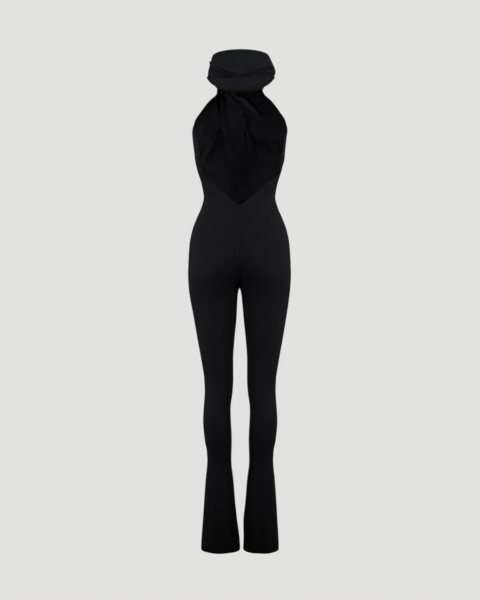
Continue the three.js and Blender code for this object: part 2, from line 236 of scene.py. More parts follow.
def undulation(u: np.ndarray, v: np.ndarray, seed: int) -> np.ndarray:
    """Adds up slow, uneven waves, for cloth that is never quite even.

    Args:
        u: position round the panel, in millimetres.
        v: height on the panel, in millimetres.
        seed: chooses the directions and phases.

    Returns:
        Heights of about one unit.
    """
    rng = np.random.default_rng(seed)
    total = np.zeros(np.broadcast(u, v).shape)
    for wavelength in WAVELENGTHS:
        heading = rng.uniform(0, np.pi)
        phase = rng.uniform(0, 2 * np.pi)
        along = u * math.cos(heading) + v * math.sin(heading)
        total += np.sin(2 * np.pi * along / wavelength + phase) * wavelength / WAVELENGTHS[0]
    return total / 2.0


class SmoothColumn:
    """A smooth curve through a column of a table. It never overshoots the values given."""

    def __init__(self, places: Sequence[float], values: Sequence[float]) -> None:
        """Prepares the curve.

        Args:
            places: where each value holds, rising or falling.
            values: the values there.
        """
        order = np.argsort(places)
        self.places = np.asarray(places, float)[order]
        self.values = np.asarray(values, float)[order]
        step = np.diff(self.places)
        rise = np.diff(self.values) / step
        slope = np.zeros_like(self.values)
        slope[0], slope[-1] = rise[0], rise[-1]
        for i in range(1, len(rise)):
            if rise[i - 1] * rise[i] > 0:
                a = 2 * step[i] + step[i - 1]
                b = step[i] + 2 * step[i - 1]
                slope[i] = (a + b) / (a / rise[i - 1] + b / rise[i])
        self.step, self.slope = step, slope

    def __call__(self, at: np.ndarray) -> np.ndarray:
        """Works out the curve.

        Args:
            at: the places; beyond the ends the end values hold.

        Returns:
            The curve's values there.
        """
        i = np.clip(np.searchsorted(self.places, at, side="right") - 1, 0, len(self.step) - 1)
        h = self.step[i]
        t = np.clip((at - self.places[i]) / h, 0.0, 1.0)
        t2, t3 = t * t, t * t * t
        return (
            (2 * t3 - 3 * t2 + 1) * self.values[i]
            + (t3 - 2 * t2 + t) * h * self.slope[i]
            + (3 * t2 - 2 * t3) * self.values[i + 1]
            + (t3 - t2) * h * self.slope[i + 1]
        )


def curve_of(table: Sequence[NamedTuple], column: str) -> SmoothColumn:
    """Returns a column of a table as a smooth curve over the table's heights."""
    return SmoothColumn([row.z for row in table], [getattr(row, column) for row in table])


@dataclass(frozen=True)
class GarmentForm:
    """The outside surface that all the body panels share."""

    crotch_z: float = -634.0
    seat_rise: float = 140.0
    parting_rate: float = 0.75
    waist_seam_z: float = -388.0
    hem_z: float = -1469.0
    v_tip_z: float = -374.5
    v_slope: float = 0.82
    v_tip_radius: float = 7.0
    wrap_left: float = 26.0
    wrap_right: float = 18.0
    wrap_start_z: float = -104.0
    wrap_full_z: float = -168.0
    side_seam_z: float = -279.0
    side_rounds: int = 10
    straight_z: float = -480.0
    kick: float = 5.4
    kick_start_z: float = -1360.0
    kick_full_z: float = -1450.0
    flute_start_z: float = -1190.0
    flute_rise: float = 3.4
    flute_waves: int = 5
    flute_phase_left: float = 0.6
    flute_phase_right: float = 2.1
    bridge_front: float = 0.4
    bridge_back: float = 0.05
    half: SmoothColumn = curve_of(BODY, "half")
    front: SmoothColumn = curve_of(BODY, "front")
    back: SmoothColumn = curve_of(BODY, "back")
    mid: SmoothColumn = curve_of(BODY, "mid")
    gap: SmoothColumn = curve_of(LEG_GAP, "value")
    sway: SmoothColumn = curve_of(SWAY, "value")

    def seat_share(self, z: np.ndarray) -> np.ndarray:
        """Returns how far down the seat a height is, 1 being the crotch and below."""
        return np.clip((self.crotch_z + self.seat_rise - z) / self.seat_rise, 0.0, 1.0)

    def ellipse(self, z: np.ndarray, side: Side) -> tuple[np.ndarray, np.ndarray]:
        """Works out one side's ellipse, a half of the body that parts into a leg.

        Args:
            z: heights.
            side: the side of the wearer.

        Returns:
            The distance of its centre from the middle, and its half width.
        """
        outer = self.half(z)
        t = self.seat_share(z)
        parting = (3 - self.parting_rate) * t**2 + (self.parting_rate - 2) * t**3
        joined = outer / (1 + parting)
        swing = side.value * self.kick * smoothstep(-z, -self.kick_start_z, -self.kick_full_z)
        gap = self.gap(z) + swing
        above = z > self.crotch_z
        centre = np.where(above, outer - joined, (outer + gap) / 2)
        width = np.where(above, joined, (outer - gap) / 2)
        return centre, width

    def inner_angle(self, z: np.ndarray, side: Side) -> np.ndarray:
        """Works out where a side ends at the middle of the garment.

        Args:
            z: heights.
            side: the side of the wearer.

        Returns:
            The angle in degrees from the widest line.
        """
        centre, width = self.ellipse(z, side)
        share = np.clip(-centre / width, -1.0, 1.0)
        return np.where(z <= self.crotch_z, 180.0, np.degrees(np.arccos(share)))

    def edge_angle(self, z: np.ndarray, side: Side) -> np.ndarray:
        """Works out where the side seam is, and the armhole edge above it.

        Args:
            z: heights.
            side: the side of the wearer.

        Returns:
            The angle in degrees from the widest line.
        """
        wrap = self.wrap_left if side is Side.LEFT else self.wrap_right
        grown = smoothstep(-z, -self.wrap_start_z, -self.wrap_full_z)
        return wrap * grown * (1 - smoothstep(-z, -self.side_seam_z, -self.straight_z))

    def v_edge(self, x: np.ndarray) -> np.ndarray:
        """Returns the height of the back's V edge at a distance x from the middle."""
        r = self.v_tip_radius
        return self.v_tip_z + self.v_slope * (np.hypot(x, r) - r)

    def side_top(self, side: Side) -> float:
        """Works out where the V edge meets the side seam.

        Args:
            side: the side of the wearer.

        Returns:
            The height, which a few rounds settle.
        """
        z = np.array(self.side_seam_z)
        for _ in range(self.side_rounds):
            z = self.v_edge(self.half(z) * np.cos(np.radians(self.edge_angle(z, side))))
        return float(z)

    def body(self, z: np.ndarray, angle: np.ndarray, side: Side) -> np.ndarray:
        """Works out points of one side.

        Args:
            z: heights.
            angle: degrees from the widest line, positive round the back.
            side: the side of the wearer.

        Returns:
            The points.
        """
        centre, width = self.ellipse(z, side)
        turn = np.radians(angle)
        behind = angle > 0
        mid = self.mid(z)
        depth = np.where(behind, -self.back(z) - mid, self.front(z) - mid)
        share = self.seat_share(z)
        hollow = np.where(
            behind,
            smoothstep(share, self.bridge_back, 1.0),
            smoothstep(share, self.bridge_front, 1.0),
        )
        reach = np.abs(np.sin(turn))
        bridged = np.where(np.abs(angle) > 90, 1 - hollow * (1 - reach), reach)
        phase = self.flute_phase_left if side is Side.LEFT else self.flute_phase_right
        grown = smoothstep(-z, -self.flute_start_z, -self.hem_z)
        flute = self.flute_rise * grown * np.sin(self.flute_waves * turn + phase) * reach
        x = centre + width * np.cos(turn)
        y = mid + (depth + np.sign(depth) * flute) * bridged
        return np.stack([side.value * x + self.sway(z), y, z + 0 * x], axis=-1)

    def bodice(self, z: np.ndarray, angle: np.ndarray) -> np.ndarray:
        """Works out points of the front.

        Args:
            z: heights.
            angle: degrees, from 0 at the right side to -180 at the left one.

        Returns:
            The points.
        """
        right = self.body(z, angle, Side.RIGHT)
        left = self.body(z, -180 - angle, Side.LEFT)
        return np.where((angle > -90)[..., None], right, left)


@dataclass(frozen=True)
class CollarForm:
    """The outside of the folded collar: up the inner stand, over the rim, down the fall."""

    mid_y: float = -4.0
    risen_z: float = 60.0
    back_power: float = 1.3
    front_power: float = 4.0
    front_drop: float = 1.05
    seam_mid_y: float = -12.0

    def column(self, name: str) -> SmoothColumn:
        """Returns a column of the rings as a smooth curve over the ring's number."""
        places = list(range(len(COLLAR_RINGS)))
        return SmoothColumn(places, [getattr(ring, name) for ring in COLLAR_RINGS])

    def points(self, row: np.ndarray, angle: np.ndarray) -> np.ndarray:
        """Works out points of the collar.

        Args:
            row: ring numbers, which may lie between two rings.
            angle: degrees, 0 at the wearer's right and 90 at the centre back.

        Returns:
            The points.
        """
        at = {name: self.column(name)(row) for name in Ring._fields}
        back = np.sin(np.radians(angle))
        risen = smoothstep(at["side"], 0.0, self.risen_z)
        mid = mix(self.seam_mid_y, self.mid_y, risen)
        drawn = 1 - at["tuck"] * np.sin(np.radians(2 * angle)) ** 2 / at["half"]
        depth = np.where(back > 0, -at["back"] - mid, mid - at["front"])
        fall = np.where(
            back > 0,
            np.abs(back) ** self.back_power,
            self.front_drop * np.abs(back) ** self.front_power,
        )
        x = at["shift"] + at["half"] * np.cos(np.radians(angle)) * drawn
        y = mid + depth * back * drawn
        return np.stack([x, y, at["side"] - at["drop"] * fall], axis=-1)


@dataclass(frozen=True)
class Fold:
    """A fold along a smooth path through spots of a panel's chart, in millimetres.

    rise is outwards. skew above 0 makes the flank on the path's left the steeper one, and
    fade gives the lengths over which the fold comes and goes.
    """

    path: tuple[tuple[float, float], ...]
    width: tuple[float, float]
    rise: float
    shape: FoldShape = FoldShape.SWELL
    skew: float = 0.0
    fade: tuple[float, float] = (14.0, 24.0)
    step: float = 4.0
    reach: float = 3.2

    def line(self) -> np.ndarray:
        """Works out the smooth path.

        Returns:
            Points on it that stand close together.
        """
        spots = np.array(self.path, float)
        run = np.concatenate([[0.0], np.cumsum(np.linalg.norm(np.diff(spots, axis=0), axis=1))])
        at = np.linspace(0.0, run[-1], max(int(run[-1] / self.step), 2) + 1)
        return np.stack([SmoothColumn(run, spots[:, k])(at) for k in (0, 1)], axis=1)

    def height(self, u: np.ndarray, v: np.ndarray) -> np.ndarray:
        """Works out how far the fold moves the cloth outwards.

        Args:
            u: positions across the chart.
            v: positions up the chart.

        Returns:
            The lift at each position.
        """
        line = self.line()
        margin = self.reach * max(self.width)
        low, high = line.min(axis=0) - margin, line.max(axis=0) + margin
        near = (u > low[0]) & (u < high[0]) & (v > low[1]) & (v < high[1])
        spots = np.stack([u[near], v[near]], axis=1)
        best = np.full(len(spots), np.inf)
        off, along = np.zeros(len(spots)), np.zeros(len(spots))
        done = 0.0
        for start, end in zip(line, line[1:]):
            length = float(np.hypot(*(end - start)))
            ahead = (end - start) / length
            offset = spots - start
            run = np.clip(offset @ ahead, 0.0, length)
            distance = np.linalg.norm(offset - run[:, None] * ahead, axis=1)
            closer = distance < best
            beside = offset[:, 1] * ahead[0] - offset[:, 0] * ahead[1]
            best = np.where(closer, distance, best)
            off = np.where(closer, np.where(beside > 0, distance, -distance), off)
            along = np.where(closer, done + run, along)
            done += length
        width = mix(self.width[0], self.width[1], along / done)
        width = width * np.where(off > 0, 1 - self.skew, 1 + self.skew)
        ends = smoothstep(along, -0.01, self.fade[0])
        ends = ends * (1 - smoothstep(along, done - self.fade[1], done + 0.01))
        total = np.zeros(u.shape)
        total[near] = self.rise * ends * np.exp(-(np.abs(off / width) ** self.shape.value))
        return total


@dataclass(frozen=True)
class FoldField:
    """All the folds of one panel, and the slow unevenness between them."""

    folds: tuple[Fold, ...] = ()
    uneven: float = 0.4
    seed: int = 1

    def height(self, u: np.ndarray, v: np.ndarray) -> np.ndarray:
        """Adds up the folds and the unevenness.

        Args:
            u: positions across the chart.
            v: positions up the chart.

        Returns:
            The lift at each position.
        """
        total = self.uneven * undulation(u, v, self.seed)
        for fold in self.folds:
            total = total + fold.height(u, v)
        return total


@dataclass(frozen=True)
class PicturePlane:
    """The plane of the side seams, seen from a distance, in which folds are measured."""

    distance: float = 4000.0
    eye_z: float = -672.0

    def place(self, points: np.ndarray) -> tuple[np.ndarray, np.ndarray]:
        """Returns where points are seen in the plane, across and up."""
        scale = self.distance / (self.distance + points[..., 1])
        return points[..., 0] * scale, self.eye_z + (points[..., 2] - self.eye_z) * scale


@dataclass(frozen=True)
class EdgeFinish:
    """How the cloth is finished at its seams and its turned edges."""

    cloth: float = 1.15
    turned: float = 0.75
    turned_ease: float = 2.0
    groove_depth: float = 0.8
    groove_width: float = 1.1
    swell: float = 0.28
    swell_at: float = 4.2
    swell_width: float = 3.2
    stitch_trough: float = 0.3
    stitch_width: float = 1.3
    lean: float = 3.0
    armhole_lean: float = 1.0
    fall_lean: float = -0.5
    hem_lean: float = 0.8
    lean_width: float = 3.2
    centre_ease: float = 0.6
    centre_valley: float = 1.4
    centre_width: float = 6.0
    welt: float = 2.0
    welt_at: float = 4.3
    welt_width: float = 1.4
    welt_top: float = -452.0
    welt_grown: float = -472.0
    welt_ease: float = -540.0
    welt_end: float = -590.0
    stitched_from: float = -465.0
    stitched_to: float = -608.0
    hem_stitches: tuple[float, float] = (19.5, 24.0)

    def seam_lift(self, distance: np.ndarray) -> np.ndarray:
        """Works out the lift beside a seam: a groove with a low swell next to it.

        Args:
            distance: how far from the seam each point is.

        Returns:
            The lift.
        """
        groove = np.exp(-((distance / self.groove_width) ** 2))
        swell = np.exp(-(((distance - self.swell_at) / self.swell_width) ** 2))
        return self.swell * swell - self.groove_depth * groove

    def turned_lift(self, distance: np.ndarray, depth: float, lean: float) -> np.ndarray:
        """Works out the lift beside a turned edge: it leans in, with a trough at its sewing.

        Args:
            distance: how far from the edge each point is.
            depth: how deep the cloth is turned in.
            lean: how far the very edge lies inwards.

        Returns:
            The lift.
        """
        trough = np.exp(-(((distance - depth) / self.stitch_width) ** 2))
        return -self.stitch_trough * trough - lean * np.exp(-distance / self.lean_width)

    def centre_lift(self, distance: np.ndarray, z: np.ndarray, side: Side) -> np.ndarray:
        """Works out the lift beside the centre-back seam: a valley, and a welt on its left.

        Args:
            distance: how far from the seam each point is.
            z: heights.
            side: the side of the wearer.

        Returns:
            The lift.
        """
        valley = -self.centre_valley * np.exp(-((distance / self.centre_width) ** 2))
        if side is Side.RIGHT:
            return valley
        welt = self.welt * np.exp(-(((distance - self.welt_at) / self.welt_width) ** 2))
        welt = welt * smoothstep(-z, -self.welt_top, -self.welt_grown)
        return valley + welt * (1 - smoothstep(-z, -self.welt_ease, -self.welt_end))

    def turned_thickness(self, distance: np.ndarray, depth: float) -> np.ndarray:
        """Returns the extra thickness of the cloth turned in along an edge."""
        return self.turned * (1 - smoothstep(distance, depth, depth + self.turned_ease))


def distances_down(points: np.ndarray) -> np.ndarray:
    """Returns at each grid point the distance along its column from the first row."""
    steps = np.linalg.norm(np.diff(points, axis=0), axis=-1)
    return np.concatenate([np.zeros((1, points.shape[1])), np.cumsum(steps, axis=0)])


def distances_across(points: np.ndarray) -> np.ndarray:
    """Returns at each grid point the distance along its row from the first column."""
    return distances_down(points.swapaxes(0, 1)).T


@dataclass
class ClothWall:
    """A closed wall of cloth over a grid of surface points.

    base, normal and lift give the outer side; the inner one lies thickness below it. free
    tells for each border point whether the cloth ends there in a rounded edge. A closed
    wall joins its last column to its first.
    """

    name: str
    base: np.ndarray
    normal: np.ndarray
    lift: np.ndarray
    thickness: np.ndarray
    free: dict[Border, np.ndarray]
    closed: bool = False
    rim_steps: int = 3

    @property
    def outer(self) -> np.ndarray:
        """The outer points, with the folds."""
        return self.base + self.normal * self.lift[..., None]

    def numbers(self) -> np.ndarray:
        """Returns the outer side's vertex numbers as a grid."""
        rows, cols = self.base.shape[:2]
        return np.arange(rows * cols).reshape(rows, cols)

    def joined(self, grid: np.ndarray) -> np.ndarray:
        """Returns the grid, with its first column again at the end if the wall is closed."""
        return np.concatenate([grid, grid[:, :1]], axis=1) if self.closed else grid

    def chart(self) -> np.ndarray:
        """Returns UV positions in metres, from the middle of each row and down it.

        Returns:
            A grid of positions; a closed wall's has its first column again at the end.
        """
        points = self.joined(self.base)
        across = distances_across(points)
        across = across - across[:, -1:] / 2
        if not self.closed:
            return np.stack([across, points[..., 2]], axis=-1) * MM
        middle = self.base.shape[1] // 2
        down = distances_down(self.base[:, middle : middle + 1])
        return np.stack([across, np.broadcast_to(-down, across.shape)], axis=-1) * MM

    def grid_faces(self) -> tuple[np.ndarray, np.ndarray]:
        """Returns the outer side's faces and their UV positions.

        Returns:
            Vertex numbers, four to a face, and a UV position for each corner.
        """
        index, uv = self.joined(self.numbers()), self.chart()
        corners = [index[:-1, :-1], index[1:, :-1], index[1:, 1:], index[:-1, 1:]]
        places = [uv[:-1, :-1], uv[1:, :-1], uv[1:, 1:], uv[:-1, 1:]]
        faces = np.stack([c.ravel() for c in corners], axis=1)
        return faces, np.stack([p.reshape(-1, 2) for p in places], axis=1)

    def outward_edge(self) -> tuple[np.ndarray, np.ndarray]:
        """Works out the rounded edges where the cloth ends.

        Returns:
            At each grid point how far the rim bulges, 0 or 1, and in which direction.
        """
        outer = self.outer
        bulge = np.zeros(outer.shape[:2])
        away = np.zeros_like(outer)
        along = {
            Border.TOP: (np.s_[0, :], outer[0] - outer[1]),
            Border.BOTTOM: (np.s_[-1, :], outer[-1] - outer[-2]),
        }
        if not self.closed:
            along[Border.FIRST] = (np.s_[:, 0], outer[:, 0] - outer[:, 1])
            along[Border.LAST] = (np.s_[:, -1], outer[:, -1] - outer[:, -2])
        for border, (where, direction) in along.items():
            away[where] += unit(direction)
            bulge[where] = np.maximum(bulge[where], self.free[border])
        return bulge, unit(away)

    def border_loops(self) -> list[np.ndarray]:
        """Works out the loops of border points.

        Returns:
            One loop, or two for a closed wall, each in the direction its rim's faces need.
        """
        index = self.numbers()
        if self.closed:
            return [index[0], index[-1][::-1]]
        parts = [index[0, :-1], index[:-1, -1], index[-1, :0:-1], index[:0:-1, 0]]
        return [np.concatenate(parts)]

    def build(self) -> bpy.types.Object:
        """Makes the mesh, with its faces outwards and a UV map in metres.

        Returns:
            The linked object.
        """
        outer = self.outer.reshape(-1, 3)
        inner = outer - self.normal.reshape(-1, 3) * self.thickness.reshape(-1, 1)
        faces, places = self.grid_faces()
        count = len(outer)
        uv = self.chart()[:, : self.base.shape[1]].reshape(-1, 2)
        points, all_faces, all_places = [outer, inner], [faces], [places]
        all_faces.append(faces[:, ::-1] + count)
        all_places.append(places[:, ::-1])
        bulge, away = self.outward_edge()
        bulge, away = bulge.reshape(-1, 1), away.reshape(-1, 3)
        total = 2 * count
        for loop in self.border_loops():
            rings = [loop]
            centre = (outer[loop] + inner[loop]) / 2
            radius = (outer[loop] - inner[loop]) / 2
            size = np.linalg.norm(radius, axis=1, keepdims=True)
            for step in range(1, self.rim_steps + 1):
                turn = math.pi * step / (self.rim_steps + 1)
                bulged = away[loop] * size * math.sin(turn) * bulge[loop]
                points.append(centre + radius * math.cos(turn) + bulged)
                rings.append(np.arange(total, total + len(loop)))
                total += len(loop)
            rings.append(loop + count)
            for upper, lower in zip(rings, rings[1:]):
                strip = [upper, np.roll(upper, -1), np.roll(lower, -1), lower]
                all_faces.append(np.stack(strip, axis=1))
                ends = np.stack([uv[loop], np.roll(uv[loop], -1, axis=0)], axis=1)
                all_places.append(ends[:, [0, 1, 1, 0]])
        return self.mesh_object(
            np.concatenate(points), np.concatenate(all_faces), np.concatenate(all_places)
        )

    def mesh_object(
        self, points: np.ndarray, faces: np.ndarray, places: np.ndarray
    ) -> bpy.types.Object:
        """Makes an object of four-sided faces.

        Args:
            points: vertex positions in millimetres.
            faces: vertex numbers, four to a face.
            places: UV positions, one for each corner of each face.

        Returns:
            The linked object.
        """
        a, b, c, d = (points[faces[:, k]] for k in range(4))
        volume = np.einsum("ij,ij->", a, np.cross(b, c)) + np.einsum("ij,ij->", a, np.cross(c, d))
        if volume < 0:
            faces, places = faces[:, ::-1], places[:, ::-1]
        mesh = bpy.data.meshes.new(self.name)
        mesh.from_pydata((points * MM).tolist(), [], faces.tolist())
        layer = mesh.uv_layers.new(name="UVMap")
        layer.data.foreach_set("uv", np.ascontiguousarray(places, float).ravel())
        mesh.shade_smooth()
        return linked(self.name, mesh)

    def line_beside(self, border: Border, distance: float, sink: float = 0.1) -> np.ndarray:
        """Follows a border on the outer side.

        Args:
            border: the border to follow.
            distance: how far from it the line runs.
            sink: how far under the surface the line lies.

        Returns:
            The line's points.
        """
        grid, normal = self.outer, self.normal
        if border in (Border.FIRST, Border.LAST):
            grid, normal = grid.swapaxes(0, 1), normal.swapaxes(0, 1)
        if border in (Border.BOTTOM, Border.LAST):
            grid, normal = grid[::-1], normal[::-1]
        line = []
        for points, directions in zip(grid.swapaxes(0, 1), normal.swapaxes(0, 1)):
            steps = np.linalg.norm(np.diff(points, axis=0), axis=-1)
            run = np.concatenate([[0.0], np.cumsum(steps)])
            spot = [np.interp(distance, run, points[:, k]) for k in range(3)]
            facing = [np.interp(distance, run, directions[:, k]) for k in range(3)]
            line.append(np.array(spot) - sink * np.array(facing))
        return np.array(line)


CREASE = FoldShape.CREASE

BODICE_FOLDS = FoldField(
    seed=3,
    uneven=0.5,
    folds=(
        # From the left shoulder straight down: a ridge between two creases.
        Fold(
            ((-63, 14), (-60, -38), (-58, -61), (-56, -81), (-55, -118), (-48, -178)),
            (5, 6),
            -9,
        ),
        Fold(((-50.3, 14), (-50.3, -40), (-50, -92)), (3.8, 4.2), 14, CREASE),
        Fold(((-72, -20), (-69, -55), (-65, -71), (-64, -104)), (4, 4.4), 8, CREASE),
        Fold(((-70, -46), (-84, -58), (-100, -70)), (5, 5), 5),
        # The main crease, from the neck to the right of the waist, and its branches.
        Fold(((-36, 4), (-17.5, -31), (-11, -38), (1, -45)), (4.4, 4.8), 11, CREASE, fade=(8, 8)),
        Fold(
            ((-4, -42), (5, -60), (12, -70), (20, -80), (24.5, -101), (26, -120), (31, -137)),
            (5, 6),
            19,
            CREASE,
            skew=-0.25,
            fade=(8, 12),
        ),
        Fold(((12, -80), (20, -88), (32, -98)), (9, 8), 9, fade=(6, 8)),
        Fold(
            ((25, -118), (30.5, -135), (36, -149), (42, -160), (44, -172), (48, -186)),
            (5, 5.6),
            15,
            CREASE,
            fade=(10, 10),
        ),
        Fold(
            ((43, -168), (51, -190), (55, -203), (58.6, -217), (64, -234)),
            (5.4, 4.6),
            14,
            CREASE,
        ),
        Fold(((-12, -38), (-8, -56), (-3, -98)), (4.5, 6), 4),
        Fold(((17, -128), (18, -155), (22, -169), (24, -187), (24, -222)), (4.4, 6), 15, CREASE),
        Fold(((28, -140), (33, -168), (36, -212)), (5, 5), -2),
        # The arch from the main crease towards the right side, hollow under its upper edge.
        Fold(
            ((34, -174), (52, -174), (64, -177), (76, -184), (88, -196), (97, -210), (112, -240)),
            (18, 14),
            21,
            skew=0.3,
            fade=(22, 50),
        ),
        Fold(((38, -154), (56, -152), (74, -156), (92, -170), (106, -188)), (9, 9), -2),
        Fold(((62, -206), (76, -214), (86, -228)), (10, 10), -3),
        # From the neck down to the right shoulder.
        Fold(
            ((-14, -6), (4, -17.5), (14.5, -21), (30.5, -35), (51.5, -54.5), (70, -75), (88, -88)),
            (5.4, 6.4),
            22,
            CREASE,
            fade=(14, 18),
        ),
        Fold(((40, -24), (62, -42), (86, -60), (106, -74)), (8, 8), -3),
        Fold(((50, -20), (63, -34), (78.5, -43), (92, -51), (109, -60), (132, -84)), (5, 6), 6),
        Fold(((22, -2), (36, -14), (50, -27)), (7, 7), 4, fade=(4, 8)),
        Fold(
            ((112, -160), (120, -188), (127, -208), (131, -224), (138, -250)),
            (8, 10),
            11,
            skew=-0.3,
            fade=(18, 56),
        ),
        # The hollow at the left breast, which runs down to the left side, and its ridges.
        Fold(
            ((-59, -122), (-66, -150), (-73, -172), (-84, -197), (-95, -220), (-110, -250)),
            (8, 12),
            19,
            fade=(16, 44),
        ),
        Fold(((-56, -112), (-50, -145), (-47, -180), (-52, -230)), (5, 8), -7, fade=(20, 70)),
        Fold(
            ((-80, -142), (-90, -164), (-99, -184), (-110, -205), (-120, -232), (-121, -262)),
            (8, 8),
            -13,
        ),
        Fold(((-110, -168), (-118, -196), (-128, -232)), (6, 6.5), 11),
        Fold(
            ((-108, -86), (-119, -104), (-123, -130), (-128, -160), (-130, -190), (-133, -216)),
            (10, 10),
            -9,
        ),
        # Short ones in the middle, and those that run down into the V.
        Fold(((-47, -166), (-47, -228)), (4.4, 4.4), 6, fade=(26, 24)),
        Fold(((-25, -166), (-25, -232)), (3.6, 4), 6, CREASE, fade=(26, 26)),
        Fold(((-35.5, -170), (-35, -236)), (4, 4.6), -3, fade=(20, 24)),
        Fold(((-30, -62), (-26, -130), (-24, -170)), (12, 13), -3.5),
        Fold(((-46, -228), (-40, -262), (-31, -284), (-18, -304)), (10, 9), 6, fade=(20, 20)),
        Fold(((-17.5, -290), (-16, -316), (-13, -329), (-9, -350)), (4.4, 5), 10, CREASE),
        Fold(((-84, -244), (-80, -268), (-74, -292)), (20, 20), -5, fade=(24, 24)),
        Fold(((10, -230), (8, -270), (2, -310)), (14, 12), 2.5),
    ),
)

COLLAR_FOLDS = FoldField(
    seed=11,
    uneven=0.5,
    folds=(
        # The ridge of the drape, from shoulder to shoulder.
        Fold(
            ((-94, 91), (-78, 81), (-60, 73), (-40, 65), (-20, 58), (0, 53.5), (20, 55))
            + ((40, 61), (60, 67), (80, 73), (102, 80)),
            (7, 7),
            7,
            skew=0.4,
            fade=(6, 6),
        ),
        # The troughs under it.
        Fold(
            ((-104, 70), (-82, 62), (-62, 53), (-42, 47), (-24, 42.5), (-4, 40)),
            (9, 8),
            -15,
            skew=-0.1,
            fade=(8, 26),
        ),
        Fold(((114, 71), (90, 63), (76, 57.5), (62, 52), (42, 46)), (8, 8), -13, fade=(8, 24)),
        Fold(((-111, 50), (-98, 42), (-86, 34)), (4.5, 5), -6, fade=(8, 12)),
        Fold(((116, 50), (103, 42), (90, 33)), (4.5, 5), -6, fade=(8, 12)),
        Fold(((-80, 8), (0, 2), (80, 8)), (16, 16), 6),
        Fold(((-70, 30), (0, 26), (70, 30)), (9, 9), -1.5),
    ),
)

ARC = 1.15  # millimetres of cloth to a degree round a leg
NEAR = 0.5  # half a step, in millimetres or degrees, over which a leg's slope is taken

BACK_LEG_FOLDS = FoldField(
    seed=5,
    uneven=0.45,
    folds=(
        Fold(((172 * ARC, -652), (142 * ARC, -668), (112 * ARC, -700)), (7, 11), -1.8),
        Fold(((174 * ARC, -672), (152 * ARC, -700), (128 * ARC, -742)), (7, 10), 1.4),
        Fold(((160 * ARC, -640), (130 * ARC, -650), (96 * ARC, -648)), (9, 13), -1.4),
        Fold(((166 * ARC, -922), (134 * ARC, -935), (100 * ARC, -940)), (5, 7), -2.2),
        Fold(((172 * ARC, -946), (142 * ARC, -953), (112 * ARC, -966)), (4.5, 6), -2),
        Fold(((150 * ARC, -990), (116 * ARC, -980), (84 * ARC, -978)), (6, 8), -1.4),
        Fold(((46 * ARC, -1140), (82 * ARC, -1158), (120 * ARC, -1164)), (8, 10), -1.3),
        Fold(((160 * ARC, -1170), (128 * ARC, -1184), (96 * ARC, -1188)), (8, 9), -1.2),
    ),
)

FRONT_LEG_FOLDS = FoldField(
    seed=8,
    uneven=0.45,
    folds=(
        Fold(((-168 * ARC, -640), (-140 * ARC, -626), (-112 * ARC, -604)), (6, 10), -1.6),
        Fold(((-172 * ARC, -662), (-146 * ARC, -672), (-120 * ARC, -690)), (7, 10), -1.4),
        Fold(((-160 * ARC, -930), (-130 * ARC, -942), (-100 * ARC, -948)), (6, 8), -1.2),
        Fold(((-140 * ARC, -966), (-105 * ARC, -958), (-70 * ARC, -958)), (7, 9), -1),
        Fold(((-150 * ARC, -1150), (-115 * ARC, -1166), (-80 * ARC, -1172)), (8, 10), -1.6),
        Fold(((-50 * ARC, -1182), (-85 * ARC, -1193), (-120 * ARC, -1196)), (8, 9), -1.3),
    ),
)


